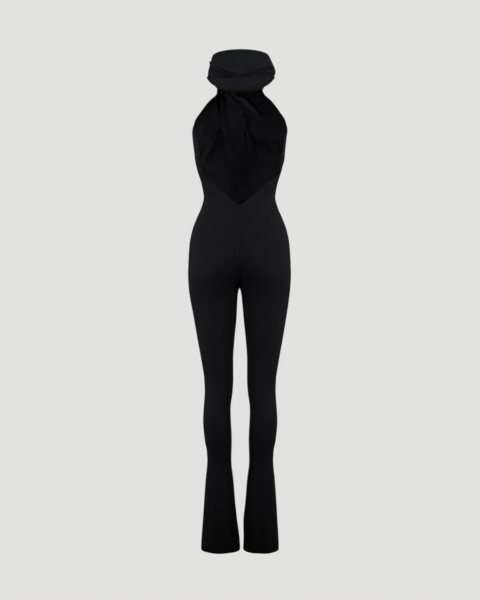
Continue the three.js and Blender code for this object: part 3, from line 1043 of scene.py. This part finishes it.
@dataclass(frozen=True)
class LegPanel:
    """A side of the front, from the waist seam down to the hem.

    Its first column is the side seam, its last one the centre seam and the inner leg's.
    """

    side: Side
    form: GarmentForm
    finish: EdgeFinish
    kind: str = "front_leg"
    folds: FoldField = FRONT_LEG_FOLDS
    across: int = 58
    seat_rows: int = 26
    crotch_rows: int = 40
    leg_rows: int = 170
    leg_spacing: float = 1.1
    hem_rows: int = 22
    hem_spacing: float = 1.4
    hem_depth: float = 22.0
    hem_band: float = 30.0
    crowding: float = 0.82
    calm: float = 14.0
    mitre: float = 3.0
    groove_from: float = 6.0
    groove_full: float = 40.0

    @property
    def node(self) -> str:
        """The name of the panel's node."""
        return f"{self.kind}_{self.side.name.lower()}"

    def columns(self) -> np.ndarray:
        """Returns the columns' shares from the side seam to the inner one."""
        return crowded(self.across, self.crowding)

    def angles(self, z: np.ndarray, share: np.ndarray) -> np.ndarray:
        """Returns the angle of each point from its height and its column's share."""
        form, side = self.form, self.side
        return mix(form.edge_angle(z, side), -form.inner_angle(z, side), share)

    def leg_heights(self, share: np.ndarray) -> np.ndarray:
        """Works out the rows below the waist seam, which part into the two legs.

        Args:
            share: the columns' shares from the side seam to the inner one.

        Returns:
            The height of every point of these rows.
        """
        form = self.form
        seat_z = form.crotch_z + form.seat_rise
        seat = np.linspace(form.waist_seam_z, seat_z, self.seat_rows, endpoint=False)
        t = np.linspace(0, 1, self.crotch_rows, endpoint=False)
        side_z = mix(seat_z, form.crotch_z, t)
        under_z = form.crotch_z + form.seat_rise * (1 - np.sin(np.pi / 2 * t))
        band_z = form.hem_z + self.hem_band
        t = np.linspace(0, 1, self.leg_rows, endpoint=False)
        leg = mix(form.crotch_z, band_z, t**self.leg_spacing)
        t = np.linspace(0, 1, self.hem_rows + 1)
        hem = mix(band_z, form.hem_z, 1 - (1 - t) ** self.hem_spacing)
        at_side = np.concatenate([seat, side_z, leg, hem])
        at_inside = np.concatenate([seat, under_z, leg, hem])
        return mix(at_side[:, None], at_inside[:, None], share[None, :] ** 2)

    def heights(self) -> np.ndarray:
        """Returns the height of every grid point."""
        return self.leg_heights(self.columns())

    def mitred(self, normal: np.ndarray, to_last: np.ndarray, z: np.ndarray) -> np.ndarray:
        """Turns directions into the middle plane where the two sides are sewn.

        Args:
            normal: the directions.
            to_last: distances from the last column.
            z: heights.

        Returns:
            The turned directions.
        """
        share = np.exp(-((to_last / self.mitre) ** 2)) * (z > self.form.crotch_z)
        turned = normal.copy()
        turned[..., 0] *= 1 - share
        return unit(turned)

    def groove_share(self, normal: np.ndarray, z: np.ndarray) -> np.ndarray:
        """Returns how deep the inner seam's groove is: nothing where it would part the crotch."""
        below = smoothstep(self.form.crotch_z - z, self.groove_from, self.groove_full)
        return np.where(z > self.form.crotch_z, normal[..., 1] ** 2, below)

    def to_seam(self, across: np.ndarray, to_last: np.ndarray, down: np.ndarray) -> np.ndarray:
        """Returns the distance from the nearest border that is sewn to another panel."""
        return np.minimum(np.minimum(across, to_last), down)

    def top_edge(self, down: np.ndarray) -> tuple[np.ndarray, np.ndarray | float, float]:
        """Returns the top edge's lift and extra thickness, and 1 if it is free or 0."""
        return self.finish.seam_lift(down), 0.0, 0.0

    def inner_lift(self, to_last: np.ndarray, z: np.ndarray, share: np.ndarray) -> np.ndarray:
        """Returns the lift beside the centre seam and the inner leg's."""
        return self.finish.seam_lift(to_last) * share

    def wall(self) -> ClothWall:
        """Works out the panel's wall of cloth.

        Returns:
            The wall, with its folds, seams and turned edges.
        """
        z, finish = self.heights(), self.finish
        angle = self.angles(z, self.columns()[None, :])
        base, normal = leg_surface(self.form, z, angle, self.side)
        across, down = distances_across(base), distances_down(base)
        to_last, to_hem = across[:, -1:] - across, down[-1:] - down
        normal = self.mitred(normal, to_last, z)
        top_lift, top_thickness, top_free = self.top_edge(down)
        lift = self.folds.height(angle * ARC, z)
        lift = lift * smoothstep(self.to_seam(across, to_last, down), 0.0, self.calm)
        lift = lift + finish.seam_lift(across) + top_lift
        lift = lift + self.inner_lift(to_last, z, self.groove_share(normal, z))
        lift = lift + finish.turned_lift(to_hem, self.hem_depth, finish.hem_lean)
        thickness = finish.cloth + top_thickness
        thickness = thickness + finish.turned_thickness(to_hem, self.hem_depth)
        rows, cols = z.shape
        free = {
            Border.TOP: np.full(cols, top_free),
            Border.BOTTOM: np.ones(cols),
            Border.FIRST: np.zeros(rows),
            Border.LAST: np.zeros(rows),
        }
        return ClothWall(f"{self.node}_cloth", base, normal, lift, thickness, free)


@dataclass(frozen=True)
class BackPanel(LegPanel):
    """A side of the back, from the V of the waist down to the hem."""

    kind: str = "back"
    folds: FoldField = BACK_LEG_FOLDS
    yoke_rows: int = 30
    yoke_spacing: float = 1.7
    yoke_rounds: int = 12
    turned_depth: float = 8.0

    def angles(self, z: np.ndarray, share: np.ndarray) -> np.ndarray:
        """Returns the angle of each point from its height and its column's share."""
        form, side = self.form, self.side
        return mix(form.edge_angle(z, side), form.inner_angle(z, side), share)

    def heights(self) -> np.ndarray:
        """Works out the rows, the first of which follows the V edge.

        Returns:
            The height of every grid point.
        """
        form, share = self.form, self.columns()
        edge = np.full_like(share, form.v_tip_z)
        for _ in range(self.yoke_rounds):
            turn = np.radians(self.angles(edge, share))
            edge = form.v_edge(form.half(edge) * np.cos(turn))
        t = (np.arange(self.yoke_rows) / self.yoke_rows)[:, None] ** self.yoke_spacing
        yoke = mix(edge[None, :], form.waist_seam_z, t)
        return np.concatenate([yoke, self.leg_heights(share)])

    def to_seam(self, across: np.ndarray, to_last: np.ndarray, down: np.ndarray) -> np.ndarray:
        """Returns the distance from the nearest border that is sewn to another panel."""
        return np.minimum(across, to_last)

    def top_edge(self, down: np.ndarray) -> tuple[np.ndarray, np.ndarray | float, float]:
        """Returns the V edge's lift and extra thickness, and 1 because it is free."""
        lift = self.finish.turned_lift(down, self.turned_depth, self.finish.lean)
        return lift, self.finish.turned_thickness(down, self.turned_depth), 1.0

    def inner_lift(self, to_last: np.ndarray, z: np.ndarray, share: np.ndarray) -> np.ndarray:
        """Works out the lift beside the centre-back seam and the inner leg's.

        Args:
            to_last: distances from the last column.
            z: heights.
            share: how deep the seam's groove is.

        Returns:
            The lift.
        """
        finish = self.finish
        centre = share * (z > self.form.crotch_z)
        seam = finish.seam_lift(to_last) * (share - finish.centre_ease * centre)
        return seam + finish.centre_lift(to_last, z, self.side) * centre


def leg_surface(
    form: GarmentForm, z: np.ndarray, angle: np.ndarray, side: Side
) -> tuple[np.ndarray, np.ndarray]:
    """Works out points of a side and the outward directions there.

    Args:
        form: the shared surface.
        z: heights.
        angle: degrees from the widest line.
        side: the side of the wearer.

    Returns:
        The points and the directions.
    """
    sign = np.where(angle < 0, -1.0, 1.0)
    safe = sign * np.clip(np.abs(angle), 2 * NEAR, 180.0 - 2 * NEAR)
    down = form.body(z + NEAR, safe, side) - form.body(z - NEAR, safe, side)
    round_ = form.body(z, safe + NEAR, side) - form.body(z, safe - NEAR, side)
    normal = unit(np.cross(down, round_))
    turn = np.radians(safe)
    facing = side.value * normal[..., 0] * np.cos(turn) - normal[..., 1] * np.sin(turn)
    normal = np.where((facing < 0)[..., None], -normal, normal)
    return form.body(z, angle, side), normal


@dataclass(frozen=True)
class FrontBodice:
    """The front of the bodice, one piece from armhole to armhole and neck to waist."""

    form: GarmentForm
    finish: EdgeFinish
    plane: PicturePlane
    folds: FoldField = BODICE_FOLDS
    across: int = 212
    rows: int = 216
    crowding: float = 0.25
    row_spacing: float = 1.12
    turned_depth: float = 8.0
    gather_rise: float = 1.1
    gather_spacing: float = 11.0
    gather_stray: float = 1.3
    gather_stray_run: float = 17.0
    gather_depth: float = 30.0
    gather_fade: float = 1.5
    neck_radius: float = 66.0
    foremost: float = 142.5
    foremost_ease: float = 5.0
    least_facing: float = 0.3
    slope_z: float = 1.5
    slope_angle: float = 1.0
    calm_from: float = 2.0
    calm_folds: float = 16.0
    calm_gathers: float = 20.0
    calm_waist: float = 20.0
    calm_neck: float = 4.0

    name: str = "front_bodice_cloth"

    def gathers(self, base: np.ndarray, down: np.ndarray) -> np.ndarray:
        """Works out the small pleats that fan out below the neck seam.

        Args:
            base: the points without them.
            down: distances from the neck seam.

        Returns:
            How far they move the cloth outwards.
        """
        run = np.arctan2(base[..., 0], base[..., 1]) * self.neck_radius
        stray = self.gather_stray * np.sin(run / self.gather_stray_run)
        wave = np.sin(2 * np.pi * run / self.gather_spacing + stray)
        fade = np.exp(-((down / self.gather_depth) ** self.gather_fade))
        return self.gather_rise * wave * fade

    def held_back(self, lift: np.ndarray, base: np.ndarray, normal: np.ndarray) -> np.ndarray:
        """Eases the lift off where a fold would reach past the foremost plane.

        Args:
            lift: how far the folds move the cloth outwards.
            base: the points without the folds.
            normal: the directions of the lift.

        Returns:
            The eased lift.
        """
        facing = np.maximum(normal[..., 1], self.least_facing)
        room = (self.foremost - base[..., 1]) / facing
        over = lift - room + self.foremost_ease
        eased = room - self.foremost_ease * np.exp(-np.maximum(over, 0.0) / self.foremost_ease)
        return np.where(over > 0, eased, lift)

    def wall(self) -> ClothWall:
        """Works out the wall of cloth.

        Returns:
            The wall, with its folds, seams and turned edges.
        """
        form, finish = self.form, self.finish
        t = np.arange(self.rows + 1) / self.rows
        heights = form.waist_seam_z * t**self.row_spacing
        share = crowded(self.across, self.crowding)
        z = np.broadcast_to(heights[:, None], (len(heights), len(share)))
        last = -180 - form.edge_angle(z, Side.LEFT)
        angle = mix(form.edge_angle(z, Side.RIGHT), last, share[None, :])
        base = form.bodice(z, angle)
        rise, turn = self.slope_z, self.slope_angle
        down_step = form.bodice(z + rise, angle) - form.bodice(z - rise, angle)
        across_step = form.bodice(z, angle + turn) - form.bodice(z, angle - turn)
        normal = unit(np.cross(down_step, across_step))
        inward = (normal[..., :2] * base[..., :2]).sum(axis=-1) < 0
        normal = np.where(inward[..., None], -normal, normal)
        across, down = distances_across(base), distances_down(base)
        to_last = across[:, -1:] - across
        to_waist = down[-1:] - down
        edge = np.minimum(across, to_last)
        calm = smoothstep(edge, self.calm_from, self.calm_folds)
        calm = calm * smoothstep(to_waist, 0.0, self.calm_waist)
        lift = self.folds.height(*self.plane.place(base)) * calm
        calm = smoothstep(edge, self.calm_from, self.calm_gathers)
        lift = lift + self.gathers(base, down) * calm
        lift = self.held_back(lift, base, normal) * smoothstep(down, 0.0, self.calm_neck)
        lift = lift + finish.seam_lift(down) + finish.seam_lift(to_waist)
        below = {side: heights < form.side_top(side) for side in Side}
        sides = ((across, below[Side.RIGHT]), (to_last, below[Side.LEFT]))
        thickness = np.full(z.shape, finish.cloth)
        for distance, sewn in sides:
            seam = sewn[:, None]
            seam_part = finish.seam_lift(distance)
            turned_part = finish.turned_lift(distance, self.turned_depth, finish.armhole_lean)
            lift = lift + np.where(seam, seam_part, turned_part)
            extra = finish.turned_thickness(distance, self.turned_depth)
            thickness = thickness + np.where(seam, 0.0, extra)
        free = {
            Border.TOP: np.zeros(len(share)),
            Border.BOTTOM: np.zeros(len(share)),
            Border.FIRST: np.where(below[Side.RIGHT], 0.0, 1.0),
            Border.LAST: np.where(below[Side.LEFT], 0.0, 1.0),
        }
        return ClothWall(self.name, base, normal, lift, thickness, free)


@dataclass(frozen=True)
class Collar:
    """The cowl collar: a tube folded over at its rim, with a draped outer fall."""

    form: CollarForm
    finish: EdgeFinish
    plane: PicturePlane
    folds: FoldField = COLLAR_FOLDS
    around: int = 230
    rows: int = 124
    turned_depth: float = 12.0
    fall_from: float = 5.4
    fall_full: float = 7.5
    calm_sides: float = 0.35
    slope_row: float = 0.1
    slope_angle: float = 1.0

    name: str = "collar_cloth"

    def wall(self) -> ClothWall:
        """Works out the wall of cloth.

        Returns:
            The wall, with its folds, seams and turned edges.
        """
        form, finish = self.form, self.finish
        row = np.linspace(0, len(COLLAR_RINGS) - 1, self.rows + 1)[:, None]
        angle = (360.0 * np.arange(self.around) / self.around)[None, :]
        row, angle = np.broadcast_arrays(row, angle)
        base = form.points(row, angle)
        rise, turn = self.slope_row, self.slope_angle
        up = form.points(row + rise, angle) - form.points(row - rise, angle)
        round_ = form.points(row, angle + turn) - form.points(row, angle - turn)
        normal = unit(np.cross(round_, up))
        u, v = self.plane.place(base)
        back = np.sin(np.radians(angle))
        u = np.where(back > 0, u, -u)
        fall = smoothstep(row, self.fall_from, self.fall_full)
        calm = smoothstep(np.abs(back), 0.0, self.calm_sides)
        lift = self.folds.height(u, v) * fall * calm
        down = distances_down(base)
        to_edge = down[-1:] - down
        lift = lift + finish.seam_lift(down)
        lift = lift + finish.turned_lift(to_edge, self.turned_depth, finish.fall_lean)
        thickness = finish.cloth + finish.turned_thickness(to_edge, self.turned_depth)
        free = {Border.TOP: np.zeros(self.around), Border.BOTTOM: np.ones(self.around)}
        return ClothWall(self.name, base, normal, lift, thickness, free, closed=True)


class Graph:
    """A node tree that is built by code."""

    def __init__(self, tree: bpy.types.NodeTree) -> None:
        """Wraps an empty tree."""
        self.tree = tree

    def node(
        self, kind: str, settings: dict | None = None, values: dict | None = None
    ) -> bpy.types.Node:
        """Adds a node.

        Args:
            kind: the node's type.
            settings: properties of the node.
            values: what goes into its inputs, by name or number: a plain value, a socket
                or a Signal.

        Returns:
            The node.
        """
        made = self.tree.nodes.new(kind)
        for name, value in (settings or {}).items():
            setattr(made, name, value)
        for name, value in (values or {}).items():
            source = value.socket if isinstance(value, Signal) else value
            if isinstance(source, bpy.types.NodeSocket):
                self.tree.links.new(source, made.inputs[name])
            else:
                made.inputs[name].default_value = source
        return made


class Signal:
    """A number in a shader, which can be reckoned with like a number in Python."""

    def __init__(self, graph: Graph, socket: bpy.types.NodeSocket) -> None:
        """Wraps an output socket of the graph."""
        self.graph = graph
        self.socket = socket

    def apply(self, operation: str, *others: "Signal | float") -> "Signal":
        """Adds a Math node.

        Args:
            operation: the node's operation.
            others: the numbers that follow this one.

        Returns:
            The node's result.
        """
        values = {0: self, **{i + 1: other for i, other in enumerate(others)}}
        made = self.graph.node("ShaderNodeMath", {"operation": operation}, values)
        return Signal(self.graph, made.outputs[0])

    def __add__(self, other: "Signal | float") -> "Signal":
        """Returns the sum."""
        return self.apply("ADD", other)

    __radd__ = __add__

    def __sub__(self, other: "Signal | float") -> "Signal":
        """Returns the difference."""
        return self.apply("SUBTRACT", other)

    def __rsub__(self, other: float) -> "Signal":
        """Returns the difference from a plain number."""
        return self * -1.0 + other

    def __mul__(self, other: "Signal | float") -> "Signal":
        """Returns the product."""
        return self.apply("MULTIPLY", other)

    __rmul__ = __mul__

    def __truediv__(self, other: "Signal | float") -> "Signal":
        """Returns the quotient."""
        return self.apply("DIVIDE", other)

    def __abs__(self) -> "Signal":
        """Returns the size without the sign."""
        return self.apply("ABSOLUTE")

    def fraction(self) -> "Signal":
        """Returns the part after the point."""
        return self.apply("FRACT")

    def sine(self) -> "Signal":
        """Returns the sine of the number in radians."""
        return self.apply("SINE")


@dataclass(frozen=True)
class KnitCloth:
    """Black stretch jersey with a fine knit: its loops, and its matt, faintly fibrous look."""

    name: str = "black_jersey"
    color: tuple[float, float, float] = (0.0079, 0.0078, 0.0112)
    worn: tuple[float, float, float] = (0.0103, 0.0101, 0.0141)
    roughness: float = 0.78
    sheen: float = 0.035
    sheen_roughness: float = 0.5
    wale: float = 0.9 * MM
    course: float = 0.7 * MM
    loop_height: float = 0.10 * MM
    loop_share: float = 0.35
    rib_share: float = 0.65
    strength: float = 0.55
    specular: float = 0.3
    mottle_scale: float = 26.0
    mottle_detail: float = 4.0

    def material(self) -> bpy.types.Material:
        """Builds the material.

        Returns:
            The new material.
        """
        made = bpy.data.materials.new(self.name)
        made.use_nodes = True
        made.node_tree.nodes.clear()
        graph = Graph(made.node_tree)
        chart = graph.node("ShaderNodeUVMap", {"uv_map": "UVMap"})
        split = graph.node("ShaderNodeSeparateXYZ", values={0: chart.outputs["UV"]})
        u, v = Signal(graph, split.outputs["X"]), Signal(graph, split.outputs["Y"])
        leg = abs((u / self.wale).fraction() - 0.5) * 2.0
        loops = ((v / self.course + leg * 0.5) * (2 * math.pi)).sine()
        ribs = (leg * math.pi).sine()
        height = loops * self.loop_share + ribs * self.rib_share
        place = graph.node("ShaderNodeTexCoord")
        mottle = graph.node(
            "ShaderNodeTexNoise",
            values={
                "Vector": place.outputs["Object"],
                "Scale": self.mottle_scale,
                "Detail": self.mottle_detail,
            },
        )
        tone = graph.node(
            "ShaderNodeMix",
            {"data_type": "RGBA"},
            {"Factor": mottle.outputs["Fac"], "A": (*self.color, 1), "B": (*self.worn, 1)},
        )
        bump = graph.node(
            "ShaderNodeBump",
            values={"Height": height, "Strength": self.strength, "Distance": self.loop_height},
        )
        shader = graph.node(
            "ShaderNodeBsdfPrincipled",
            values={
                "Base Color": tone.outputs["Result"],
                "Roughness": self.roughness,
                "Sheen Weight": self.sheen,
                "Sheen Roughness": self.sheen_roughness,
                "Specular IOR Level": self.specular,
                "Normal": bump.outputs["Normal"],
            },
        )
        graph.node("ShaderNodeOutputMaterial", values={"Surface": shader.outputs["BSDF"]})
        return made


@dataclass(frozen=True)
class Thread:
    """The material of the sewing thread: its own near-black tone, set a shade lighter than the
    cloth so that it also paints a faint highlight along the stitched lines.
    """

    name: str = "black_thread"
    # A shade lighter than the cloth: partly the thread's own tone, partly a painted highlight
    # along the stitching.
    color: tuple[float, float, float] = (0.013, 0.013, 0.015)
    roughness: float = 0.55

    def material(self) -> bpy.types.Material:
        """Builds the material.

        Returns:
            The new material.
        """
        made = bpy.data.materials.new(self.name)
        made.use_nodes = True
        shader = made.node_tree.nodes["Principled BSDF"]
        shader.inputs["Base Color"].default_value = (*self.color, 1)
        shader.inputs["Roughness"].default_value = self.roughness
        return made


@dataclass(frozen=True)
class StitchRun:
    """Rows of machine stitches, each a small rounded bar of thread, along given lines."""

    name: str
    lines: tuple[np.ndarray, ...]
    spacing: float = 3.1 * MM
    length: float = 2.5 * MM
    width: float = 0.5 * MM
    shortest: float = 0.86
    longest: float = 1.1
    seed: int = 4

    def tree(self) -> bpy.types.NodeTree:
        """Builds the node group that lays stitches along the lines.

        Returns:
            The group, with the stitches' measures, seed and thread as named inputs.
        """
        tree = bpy.data.node_groups.new(f"{self.name}_stitches", "GeometryNodeTree")
        face = tree.interface
        face.new_socket("Geometry", in_out="INPUT", socket_type="NodeSocketGeometry")
        for name in ("Spacing", "Length", "Width"):
            face.new_socket(name, in_out="INPUT", socket_type="NodeSocketFloat")
        face.new_socket("Seed", in_out="INPUT", socket_type="NodeSocketInt")
        face.new_socket("Thread", in_out="INPUT", socket_type="NodeSocketMaterial")
        face.new_socket("Geometry", in_out="OUTPUT", socket_type="NodeSocketGeometry")
        graph = Graph(tree)
        given = graph.node("NodeGroupInput").outputs
        lines = graph.node("GeometryNodeMeshToCurve", values={"Mesh": given["Geometry"]})
        evenly = graph.node(
            "GeometryNodeResampleCurve",
            {"mode": "LENGTH"},
            {"Curve": lines.outputs["Curve"], "Length": given["Spacing"]},
        )
        bar = graph.node(
            "GeometryNodeMeshUVSphere", values={"Segments": 8, "Rings": 5, "Radius": 0.5}
        )
        tangent = graph.node("GeometryNodeInputTangent")
        turned = graph.node(
            "FunctionNodeAlignRotationToVector",
            {"axis": "Z"},
            {"Vector": tangent.outputs["Tangent"]},
        )
        vary = graph.node(
            "FunctionNodeRandomValue",
            {"data_type": "FLOAT"},
            {"Min": self.shortest, "Max": self.longest, "Seed": given["Seed"]},
        )
        varied = graph.node(
            "ShaderNodeMath",
            {"operation": "MULTIPLY"},
            {0: given["Length"], 1: vary.outputs["Value"]},
        )
        size = graph.node(
            "ShaderNodeCombineXYZ",
            values={"X": given["Width"], "Y": given["Width"], "Z": varied.outputs[0]},
        )
        laid = graph.node(
            "GeometryNodeInstanceOnPoints",
            values={
                "Points": evenly.outputs["Curve"],
                "Instance": bar.outputs["Mesh"],
                "Rotation": turned.outputs["Rotation"],
                "Scale": size.outputs["Vector"],
            },
        )
        real = graph.node(
            "GeometryNodeRealizeInstances", values={"Geometry": laid.outputs["Instances"]}
        )
        dyed = graph.node(
            "GeometryNodeSetMaterial",
            values={"Geometry": real.outputs["Geometry"], "Material": given["Thread"]},
        )
        graph.node("NodeGroupOutput", values={"Geometry": dyed.outputs["Geometry"]})
        return tree

    def build(self, thread: bpy.types.Material) -> bpy.types.Object:
        """Lays the stitches.

        Args:
            thread: the material of the thread.

        Returns:
            All of them as one plain mesh object.
        """
        points, edges = [], []
        for line in self.lines:
            start = len(points)
            points.extend((line * MM).tolist())
            edges.extend((k, k + 1) for k in range(start, len(points) - 1))
        guide = bpy.data.meshes.new(f"{self.name}_lines")
        guide.from_pydata(points, edges, [])
        carrier = linked(f"{self.name}_lines", guide)
        modifier = carrier.modifiers.new("Stitches", "NODES")
        modifier.node_group = self.tree()
        given = {
            "Spacing": self.spacing,
            "Length": self.length,
            "Width": self.width,
            "Seed": self.seed,
            "Thread": thread,
        }
        for item in modifier.node_group.interface.items_tree:
            if item.in_out == "INPUT" and item.name in given:
                modifier[item.identifier] = given[item.name]
        view = bpy.context.evaluated_depsgraph_get()
        mesh = bpy.data.meshes.new_from_object(carrier.evaluated_get(view))
        mesh.name = self.name
        mesh.shade_smooth()
        bpy.data.objects.remove(carrier)
        return linked(self.name, mesh)


@dataclass(frozen=True)
class Softbox:
    """A rectangular light that points at a spot."""

    name: str
    place: tuple[float, float, float]
    target: tuple[float, float, float]
    size: tuple[float, float]
    power: float
    spread: float

    def build(self) -> bpy.types.Object:
        """Makes the light.

        Returns:
            The linked object.
        """
        lamp = bpy.data.lights.new(self.name, "AREA")
        lamp.shape = "RECTANGLE"
        lamp.size, lamp.size_y = self.size
        lamp.energy = self.power
        lamp.spread = math.radians(self.spread)
        made = linked(self.name, lamp)
        made.location = self.place
        aim = Vector(self.target) - Vector(self.place)
        made.rotation_euler = aim.to_track_quat("-Z", "Y").to_euler()
        return made


@dataclass(frozen=True)
class Studio:
    """The pale set, its lights and the camera."""

    floor_z: float = -1.9
    reach: float = 14.0
    tone: tuple[float, float, float] = (0.760, 0.760, 0.745)
    camera_place: tuple[float, float, float] = (0.0026, -4.0, -0.672)
    lens: float = 75.0
    sight: float = 60.0
    ambient: float = 0.012
    softboxes: tuple[Softbox, ...] = (
        Softbox("left_key", (-2.5, -1.9, 0.5), (0.0, 0.0, -0.25), (1.1, 1.4), 0.6, 70.0),
        Softbox("right_key", (2.5, -1.9, 0.5), (0.0, 0.0, -0.25), (1.1, 1.4), 0.6, 70.0),
        Softbox("left_side", (-2.6, 0.1, 0.3), (0.0, 0.0, -0.3), (0.9, 1.4), 1.8, 70.0),
        Softbox("right_side", (2.6, 0.1, 0.3), (0.0, 0.0, -0.3), (0.9, 1.4), 1.7, 70.0),
        Softbox("left_low", (-2.2, -1.9, -0.4), (0.0, 0.0, -0.88), (0.8, 0.5), 0.46, 28.0),
        Softbox("right_low", (2.2, -1.9, -0.4), (0.0, 0.0, -0.88), (0.8, 0.5), 0.46, 28.0),
        Softbox("left_rim", (-2.2, 1.5, -0.3), (0.0, 0.0, -0.75), (0.8, 1.2), 0.16, 40.0),
        Softbox("right_rim", (2.2, 1.5, -0.3), (0.0, 0.0, -0.75), (0.8, 1.2), 0.16, 40.0),
        Softbox("left_grid", (-2.1, -1.9, 0.2), (0.08, 0.03, -0.14), (0.5, 0.5), 0.035, 14.0),
        Softbox("right_grid", (2.1, -1.9, 0.3), (-0.08, 0.03, -0.16), (0.5, 0.5), 0.085, 14.0),
        Softbox("front_high", (0.4, -2.9, 1.7), (0.02, 0.0, -0.16), (0.5, 0.4), 0.03, 14.0),
        Softbox("neck_fill", (0.3, -3.4, -1.1), (0.0, 0.04, 0.0), (0.5, 0.3), 0.046, 5.4),
        Softbox("collar_top", (0.0, -1.2, 1.6), (0.0, -0.08, 0.06), (0.6, 0.4), 0.125, 24.0),
        Softbox("collar_grid", (0.0, -3.4, 0.9), (0.0, -0.1, 0.06), (0.4, 0.3), 0.012, 5.0),
        Softbox("fill", (0.0, -3.7, -0.2), (0.0, 0.0, 0.0), (2.0, 0.8), 0.4, 36.0),
        Softbox("overhead", (0.0, -0.9, 1.9), (0.0, 0.0, -0.2), (1.6, 1.2), 2.7, 120.0),
        Softbox("far_fill", (0.0, 3.8, 0.4), (0.0, 0.0, -0.5), (2.4, 1.6), 9.0, 90.0),
    )

    def set_pieces(self) -> None:
        """Makes the seamless floor and backdrop, one even tone wherever the camera looks."""
        r, z = self.reach, self.floor_z
        corners = [(-r, -r, z), (r, -r, z), (r, r, z), (-r, r, z)]
        walls = [(-r, r, z), (r, r, z), (r, r, z + 2 * r), (-r, r, z + 2 * r)]
        made = bpy.data.materials.new("set_paint")
        made.use_nodes = True
        made.node_tree.nodes.clear()
        graph = Graph(made.node_tree)
        glow = graph.node("ShaderNodeEmission", values={"Color": (*self.tone, 1)})
        graph.node("ShaderNodeOutputMaterial", values={"Surface": glow.outputs["Emission"]})
        for name, quad in (("floor", corners), ("backdrop", walls)):
            mesh = bpy.data.meshes.new(name)
            mesh.from_pydata(quad, [], [(0, 1, 2, 3)])
            mesh.materials.append(made)
            sheet = linked(name, mesh)
            sheet.visible_diffuse = False
            sheet.visible_glossy = False

    def build(self) -> None:
        """Makes the set, the lights, the camera and the ambient light."""
        scene = bpy.context.scene
        self.set_pieces()
        for softbox in self.softboxes:
            softbox.build()
        world = bpy.data.worlds.new("ambient")
        world.use_nodes = True
        sky = world.node_tree.nodes["Background"]
        sky.inputs["Color"].default_value = (*self.tone, 1)
        sky.inputs["Strength"].default_value = self.ambient
        scene.world = world
        camera = linked("camera", bpy.data.cameras.new("camera"))
        camera.data.lens = self.lens
        camera.location = self.camera_place
        camera.rotation_euler = (math.pi / 2, 0, 0)
        camera.data.clip_end = self.sight
        scene.camera = camera
        scene.view_settings.view_transform = "Standard"


@dataclass(frozen=True)
class Cut:
    """The flat piece that a panel is cut from: width, length and area, in metres."""

    width: float
    length: float
    area: float


@dataclass(frozen=True)
class Jumpsuit:
    """The whole garment."""

    form: GarmentForm = GarmentForm()
    collar_form: CollarForm = CollarForm()
    finish: EdgeFinish = EdgeFinish()
    plane: PicturePlane = PicturePlane()
    cloth: KnitCloth = KnitCloth()
    # The collar's cloth is a bluer copy of the jersey: the cooler tint is painted light, standing
    # in for cool light falling on the collar from above.
    collar_cloth: KnitCloth = KnitCloth(
        "black_jersey_painted_cool_light", (0.0076, 0.0080, 0.0130), (0.0099, 0.0104, 0.0164)
    )
    thread: Thread = Thread()
    # The centre-back seam's thread is far paler than the cloth: it paints in the highlight that
    # the seam's welt catches from the side lights.
    centre_thread: Thread = Thread("painted_highlight_thread", (0.062, 0.060, 0.065), 0.5)
    centre_width: float = 0.9 * MM
    slot: str = "cloth"
    body: str = "root"
    collar_cut: Cut = Cut(0.58, 0.235, 0.125)
    bodice_cut: Cut = Cut(0.56, 0.44, 0.175)
    front_cut: Cut = Cut(0.27, 1.11, 0.212)
    back_cut: Cut = Cut(0.29, 1.20, 0.222)

    def dress(
        self, wall: ClothWall, node: str, cloth: bpy.types.Material
    ) -> None:
        """Builds a panel, gives it its cloth, hangs it on the body and hides the part it replaces.

        Args:
            wall: the panel's wall of cloth.
            node: the node it replaces.
            cloth: its material.
        """
        piece = wall.build()
        piece.data.materials.append(cloth)
        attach(piece, self.body)
        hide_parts(node)
        LOG.info("%s: %d faces", piece.name, len(piece.data.polygons))

    def build(self) -> None:
        """Builds every panel and the stitching."""
        finish = self.finish
        cloth, thread = self.cloth.material(), self.thread.material()
        painted_highlight_thread = self.centre_thread.material()
        collar_cloth = self.collar_cloth.material()
        collar = Collar(self.collar_form, finish, self.plane)
        bodice = FrontBodice(self.form, finish, self.plane)
        collar_wall, bodice_wall = collar.wall(), bodice.wall()
        self.dress(collar_wall, "collar", collar_cloth)
        self.dress(bodice_wall, "front_bodice", cloth)
        rim = collar_wall.line_beside(Border.BOTTOM, collar.turned_depth)
        lines, centre = [np.concatenate([rim, rim[:1]])], []
        for border, side in ((Border.FIRST, Side.RIGHT), (Border.LAST, Side.LEFT)):
            line = bodice_wall.line_beside(border, bodice.turned_depth)
            lines.append(line[line[:, 2] > self.form.side_top(side)])
        for side in Side:
            back = BackPanel(side, self.form, finish)
            front = LegPanel(side, self.form, finish)
            for panel, cut in ((back, self.back_cut), (front, self.front_cut)):
                wall = panel.wall()
                self.dress(wall, panel.node, cloth)
                lines.extend(wall.line_beside(Border.BOTTOM, at) for at in finish.hem_stitches)
                if panel is back:
                    lines.append(wall.line_beside(Border.TOP, back.turned_depth))
                if panel is back and side is Side.LEFT:
                    line = wall.line_beside(Border.LAST, finish.welt_at)
                    below = line[:, 2] < finish.stitched_from
                    centre.append(line[below & (line[:, 2] > finish.stitched_to)])
        centre_run = StitchRun("centre_stitches", tuple(centre), width=self.centre_width)
        runs = (
            StitchRun("stitches", tuple(lines)).build(thread),
            centre_run.build(painted_highlight_thread),
        )
        for run in runs:
            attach(run, self.body)
            LOG.info("%s: %d faces", run.name, len(run.data.polygons))


def main() -> None:
    """Builds the garment and its set."""
    logging.basicConfig(level=logging.INFO, format="%(name)s: %(message)s")
    Jumpsuit().build()
    Studio().build()


if __name__ == "__main__":
    main()
